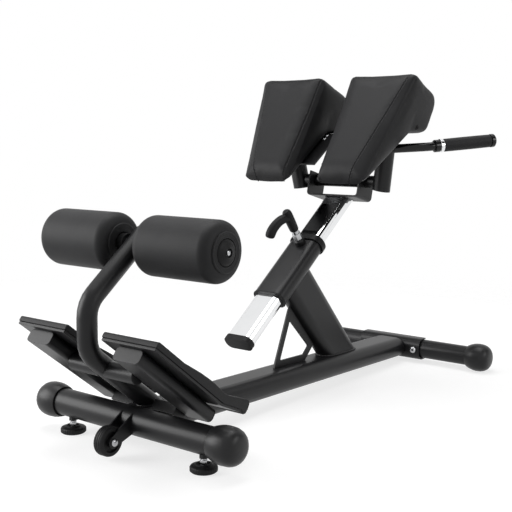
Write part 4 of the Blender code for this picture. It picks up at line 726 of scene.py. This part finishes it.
GRIP_PLACE = Vector((0.3794, 0.2787, 0.6817))
GRIP_HEADING = Vector((0.811, 0.575, 0.095)).normalized()
GRIP_PROFILE = [(0.0123, 0.0010), (0.0123, 0.1452), (0.0150, 0.1456), (0.0170, 0.1440), (0.0176, 0.1400),
                (0.0178, 0.1100), (0.0179, 0.0730), (0.0178, 0.0360), (0.0176, 0.0060), (0.0170, 0.0020),
                (0.0150, 0.0004)]
END_DISC = [(0.0, 0.1606), (0.0060, 0.1606), (0.0120, 0.1600), (0.0140, 0.1588), (0.0146, 0.1572),
            (0.0146, 0.1560), (0.0, 0.1560)]

gloss_coat = grained_material("gloss_coat", dark=(0.0035, 0.0035, 0.0038), light=(0.0055, 0.0055, 0.0060),
                              rough=(0.12, 0.18), grain_scale=300.0, blotch_scale=12.0,
                              strength=0.05, distance=0.00005, Specular_IOR_Level=0.30)
foam = grained_material("foam", dark=(0.0135, 0.0135, 0.0144), light=(0.0190, 0.0190, 0.0200),
                        rough=(0.52, 0.64), grain_scale=1500.0, blotch_scale=18.0,
                        strength=0.45, distance=0.00020, Specular_IOR_Level=0.20,
                        Sheen_Weight=0.03, Sheen_Roughness=0.5)
for side, sign in SIDES:
    finish_node("handle_bar_" + side, gloss_coat, edge=0.0008)
    finish_node("grip_collar_" + side, chrome, edge=0.0004)
    flip = Vector((1.0, sign, 1.0))
    grip_bm = lathe(GRIP_PROFILE, GRIP_PLACE * flip, GRIP_HEADING * flip, steps=48, closed=True)
    soften(grip_bm, width=0.0006, angle=30.0)
    grip = show("foam_grip_" + side, grip_bm, foam, "hip_carriage", "handle_grip_" + side)
    disc_bm = lathe(END_DISC, GRIP_PLACE * flip, GRIP_HEADING * flip, steps=40)
    show("grip_end_disc_" + side, disc_bm, chrome, "hip_carriage")

# Roller arm and axle
# One round steel tube, bent twice and powder coated, that rises from the beam's front end. The zinc plated
# axle is welded through its top and carries a roller on each side.

finish_node("roller_arm", powder_coat, edge=0.0008)
finish_node("roller_axle", zinc, edge=0.0003)

# Ankle rollers
# Moulded foam rollers with deep rounded shoulders and a raised boss round each end of the plastic hub,
# which turns on the axle. A dark snap cover hides the washer and leaves the bolt's bright dome in sight.
# Roller heights are from its inner end, and cover heights from the frame's middle plane.

ROLLER_AXIS = Vector((-0.5154, 0.0, 0.4635))
ROLLER_START = 0.042
ROLLER_RIM = 0.0658
ROLLER_LENGTH = 0.2125
SHOULDER = 0.0300
BOSS_END = [(0.0430, 0.0), (0.0430, 0.0022), (0.0415, 0.0030), (0.0385, 0.0030), (0.0380, 0.0024),
            (0.0372, 0.0024), (0.0366, 0.0029), (0.0345, 0.0028), (0.0340, 0.0022), (0.0332, 0.0022),
            (0.0326, 0.0027)]
OUTER_BORE = [(0.0178, -0.0060), (0.0292, -0.0060), (0.0292, 0.0022), (0.0300, 0.0028)]
INNER_BORE = [(0.0240, -0.0028), (0.0232, -0.0020), (0.0232, 0.0006), (0.0178, 0.0006)]
COVER_PROFILE = [(0.0053, 0.2636), (0.0056, 0.2642), (0.0062, 0.2640), (0.0078, 0.2616), (0.0088, 0.2604),
                 (0.0090, 0.2642), (0.0096, 0.2648), (0.0110, 0.2640), (0.0130, 0.2628), (0.0185, 0.2618),
                 (0.0190, 0.2610), (0.0200, 0.2610), (0.0205, 0.2612), (0.0250, 0.2594), (0.0278, 0.2572),
                 (0.0286, 0.2552), (0.0286, 0.2549), (0.0172, 0.2549), (0.0172, 0.2588), (0.0089, 0.2588),
                 (0.0087, 0.2596), (0.0074, 0.2620)]

outer_end = [(radius, ROLLER_LENGTH + height) for radius, height in OUTER_BORE + BOSS_END[::-1]]
rim_line = [(ROLLER_RIM, ROLLER_LENGTH), (ROLLER_RIM, 0.0)]
inner_end = [(radius, -height) for radius, height in BOSS_END] + INNER_BORE
roller_ring = outer_end + rim_line + inner_end
for side, sign in SIDES:
    heading = Vector((0.0, sign, 0.0))
    finish_node("roller_hub_" + side, black_plastic, edge=0.0005)
    roller_bm = lathe(roller_ring, ROLLER_AXIS + heading * ROLLER_START, heading, steps=96, closed=True)
    rims = [edge for edge in roller_bm.edges
            if all(abs((vert.co - ROLLER_AXIS).xz.length - ROLLER_RIM) < SAME_PLACE for vert in edge.verts)
            and abs(edge.verts[0].co.y - edge.verts[1].co.y) < SAME_PLACE]
    round_edges(roller_bm, rims, SHOULDER, segments=12)
    roller = show("foam_roller_" + side, roller_bm, foam, "ankle_roller_" + side, "roller_" + side)
    cover_bm = lathe(COVER_PROFILE, ROLLER_AXIS, heading, steps=48, closed=True)
    show("axle_cover_" + side, cover_bm, black_plastic, "base_frame")

# Footrest
# Welded cross stubs carry a channel under each bent steel sheet, and a moulded rubber mat with raised
# bars covers the sheet. A plastic plug closes each upper stub's outer end.

MAT_TOP = Vector((-0.6625, 0.0, 0.3009))
MAT_ALONG = Vector((0.79016, 0.0, -0.61291))
MAT_UP = Vector((0.61291, 0.0, 0.79016))
MAT_SURFACE = [(0.003, 0.0), (0.093, 0.0002), (0.151, 0.0070), (0.185, 0.0090), (0.2065, 0.0090),
               (0.245, 0.0062)]
MAT_MIDDLE_Y = 0.134
BAR_FIRST = 0.016
BAR_STEP = 0.0145
BAR_COUNT = 16
BAR_SIZE = (0.0052, 0.128, 0.0028)   # along the slope, across it and in height
TILT_REACH = 0.002                   # a bar lies on the mat as measured this far each way
STUB_PLACE = Vector((-0.6097, 0.0977, 0.2030))
STUB_PLUG = [(0.0, 0.0034), (0.0120, 0.0032), (0.0165, 0.0026), (0.0186, 0.0012), (0.0188, 0.0003),
             (0.0, 0.0003)]


def mat_height(along):
    """Height of the mat's standing face at a distance down the slope."""
    for (low, low_height), (high, high_height) in zip(MAT_SURFACE, MAT_SURFACE[1:]):
        if along <= high:
            return low_height + (high_height - low_height) * (along - low) / (high - low)
    return MAT_SURFACE[-1][1]


slope = Matrix((MAT_ALONG, (0, 1, 0), MAT_UP)).transposed().to_4x4()
for side, sign in SIDES:
    for name, edge in (("upper_cross_stub_", 0.0006), ("lower_cross_stub_", 0.0010),
                       ("footrest_channel_", 0.0010), ("foot_plate_", 0.0008)):
        finish_node(name + side, powder_coat, edge)
    finish_node("channel_end_plug_" + side, black_plastic, edge=0.0006)
    finish_node("foot_mat_" + side, tread_rubber, edge=0.0020)
    bars_bm = bmesh.new()
    for number in range(BAR_COUNT):
        along = BAR_FIRST + BAR_STEP * number
        climb = mat_height(along + TILT_REACH) - mat_height(along - TILT_REACH)
        tilt = Matrix.Rotation(-math.atan2(climb, 2 * TILT_REACH), 4, "Y")
        place = MAT_TOP + MAT_ALONG * along + MAT_UP * mat_height(along)
        place += Vector((0, sign * MAT_MIDDLE_Y, 0))
        size = Matrix.Diagonal((*BAR_SIZE, 1.0))
        bmesh.ops.create_cube(bars_bm, size=1.0, matrix=Matrix.Translation(place) @ slope @ tilt @ size)
    soften(bars_bm, width=0.0011, angle=60.0)
    show("mat_bars_" + side, bars_bm, tread_rubber, "base_frame")
    plug_bm = lathe(STUB_PLUG, STUB_PLACE * Vector((1.0, sign, 1.0)), (0, sign, 0), steps=36)
    show("stub_plug_" + side, plug_bm, black_plastic, "base_frame")

# Studio floor and surround
# A plain pale floor that fades into a white surround. The whiteness is a glow that only the camera and
# reflections see; the light that reaches the bench comes from the lamps and from a little of the surround.

FLOOR_RADIUS = 3.2
FLOOR_GREY = (0.36, 0.36, 0.36, 1.0)
FLOOR_GLOW = 0.72
FADE_START = 1.0                     # distance from the bench's middle where the floor begins to fade
FADE_END = 2.6
WORLD_LIGHT = 0.16

floor_bm = bmesh.new()
bmesh.ops.create_circle(floor_bm, cap_ends=True, segments=96, radius=FLOOR_RADIUS)
floor_mesh = bpy.data.meshes.new("studio_floor")
floor_bm.to_mesh(floor_mesh)
floor_bm.free()
floor = bpy.data.objects.new("studio_floor", floor_mesh)
bpy.context.scene.collection.objects.link(floor)


def seen_directly(tree):
    """1 for camera, glossy and transmission rays, and 0 for the rays that carry light."""
    paths = tree.nodes.new("ShaderNodeLightPath")
    first = tree.nodes.new("ShaderNodeMath")
    first.operation = "MAXIMUM"
    second = tree.nodes.new("ShaderNodeMath")
    second.operation = "MAXIMUM"
    tree.links.new(paths.outputs["Is Camera Ray"], first.inputs[0])
    tree.links.new(paths.outputs["Is Glossy Ray"], first.inputs[1])
    tree.links.new(first.outputs[0], second.inputs[0])
    tree.links.new(paths.outputs["Is Transmission Ray"], second.inputs[1])
    return second.outputs[0]


def floor_finish():
    """Matt grey with a glow, mixed out to clear with the distance from the middle."""
    material, tree, shader = start_material("studio_floor", Base_Color=FLOOR_GREY, Roughness=0.9)
    glow_level = tree.nodes.new("ShaderNodeMath")
    glow_level.operation = "MULTIPLY"
    glow_level.inputs[1].default_value = FLOOR_GLOW
    tree.links.new(seen_directly(tree), glow_level.inputs[0])
    glow = tree.nodes.new("ShaderNodeEmission")
    tree.links.new(glow_level.outputs[0], glow.inputs["Strength"])
    glowing = tree.nodes.new("ShaderNodeAddShader")
    tree.links.new(shader.outputs[0], glowing.inputs[0])
    tree.links.new(glow.outputs[0], glowing.inputs[1])
    place = tree.nodes.new("ShaderNodeTexCoord")
    reach = tree.nodes.new("ShaderNodeVectorMath")
    reach.operation = "LENGTH"
    tree.links.new(place.outputs["Object"], reach.inputs[0])
    fade = tree.nodes.new("ShaderNodeMapRange")
    fade.interpolation_type = "SMOOTHSTEP"
    fade.inputs["From Min"].default_value = FADE_START
    fade.inputs["From Max"].default_value = FADE_END
    tree.links.new(reach.outputs["Value"], fade.inputs["Value"])
    clear = tree.nodes.new("ShaderNodeBsdfTransparent")
    ground = tree.nodes.new("ShaderNodeMixShader")
    tree.links.new(fade.outputs["Result"], ground.inputs[0])
    tree.links.new(glowing.outputs[0], ground.inputs[1])
    tree.links.new(clear.outputs[0], ground.inputs[2])
    tree.links.new(ground.outputs[0], tree.nodes["Material Output"].inputs["Surface"])
    return material


floor.data.materials.append(floor_finish())

surround = bpy.data.worlds.new("studio_surround")
surround.use_nodes = True
bpy.context.scene.world = surround
background = surround.node_tree.nodes["Background"]
background.inputs["Color"].default_value = (1.0, 1.0, 1.0, 1.0)
level = surround.node_tree.nodes.new("ShaderNodeMapRange")
level.inputs["To Min"].default_value = WORLD_LIGHT
level.inputs["To Max"].default_value = 1.0
surround.node_tree.links.new(seen_directly(surround.node_tree), level.inputs["Value"])
surround.node_tree.links.new(level.outputs["Result"], background.inputs["Strength"])

# Lamps and cards
# A large soft lamp from the left gives the tubes their light stripes, one from above lights the tops, and a
# weak one fills the right side. Nearly black cards, which only reflections see, darken the chrome and paint.


def softbox(name, location, target, size, power):
    """Square lamp turned to face a point."""
    lamp = bpy.data.lights.new(name, "AREA")
    lamp.shape = "SQUARE"
    lamp.size = size
    lamp.energy = power
    stand = bpy.data.objects.new(name, lamp)
    stand.location = location
    stand.rotation_mode = "QUATERNION"
    stand.rotation_quaternion = (Vector(target) - Vector(location)).to_track_quat("-Z", "Y")
    bpy.context.scene.collection.objects.link(stand)


softbox("left_lamp", location=(-2.1, 2.0, 1.2), target=(0.0, 0.0, 0.35), size=1.9, power=72.0)
softbox("fill_lamp", location=(0.3, -2.9, 1.6), target=(0.0, 0.0, 0.40), size=1.2, power=19.0)
softbox("top_lamp", location=(0.1, 0.4, 3.0), target=(0.0, 0.0, 0.0), size=2.2, power=60.0)
card_black, _, _ = start_material("card_black", Base_Color=(0.012, 0.012, 0.012, 1.0), Roughness=1.0,
                                  Specular_IOR_Level=0.0, Emission_Color=(1.0, 1.0, 1.0, 1.0),
                                  Emission_Strength=0.032)


def dark_card(name, corners):
    """Nearly black card that only reflections see."""
    card_bm = bmesh.new()
    card_bm.faces.new([card_bm.verts.new(corner) for corner in corners])
    card_mesh = bpy.data.meshes.new(name)
    card_bm.to_mesh(card_mesh)
    card_bm.free()
    card_mesh.materials.append(card_black)
    card = bpy.data.objects.new(name, card_mesh)
    bpy.context.scene.collection.objects.link(card)
    card.visible_camera = False
    card.visible_diffuse = False
    card.visible_shadow = False


dark_card("back_card", [(0.24, 0.3, 1.95), (1.7, 0.3, 1.95), (1.7, 2.3, 1.95), (0.24, 2.3, 1.95)])
dark_card("right_card", [(1.6, -2.6, 0.9), (2.4, -1.6, 0.9), (2.4, -1.6, 2.6), (1.6, -2.6, 2.6)])
dark_card("high_card", [(-0.6, -2.4, 2.2), (0.8, -2.4, 2.2), (0.8, -1.2, 3.0), (-0.6, -1.2, 3.0)])

# Camera
# It stands at the photo's viewing angle, in front of the footrest and to its right, a little above the
# rollers.

CAMERA_PLACE = (-1.8889, -1.4044, 0.6777)
CAMERA_LENS = 63.17
CAMERA_HEADING = -0.9069
CAMERA_DIP = 0.13185
CAMERA_ROLL = -0.012

camera_data = bpy.data.cameras.new("photo_camera")
camera_data.sensor_width = 36.0
camera_data.lens = CAMERA_LENS
camera = bpy.data.objects.new("photo_camera", camera_data)
camera.location = CAMERA_PLACE
camera.rotation_mode = "QUATERNION"
roll = Matrix.Rotation(CAMERA_ROLL, 3, "Y")
aim = Matrix.Rotation(CAMERA_HEADING, 3, "Z") @ Matrix.Rotation(math.pi / 2 - CAMERA_DIP, 3, "X")
camera.rotation_quaternion = (roll @ aim).to_quaternion()
bpy.context.scene.collection.objects.link(camera)
bpy.context.scene.camera = camera
bpy.context.scene.view_settings.view_transform = "Standard"
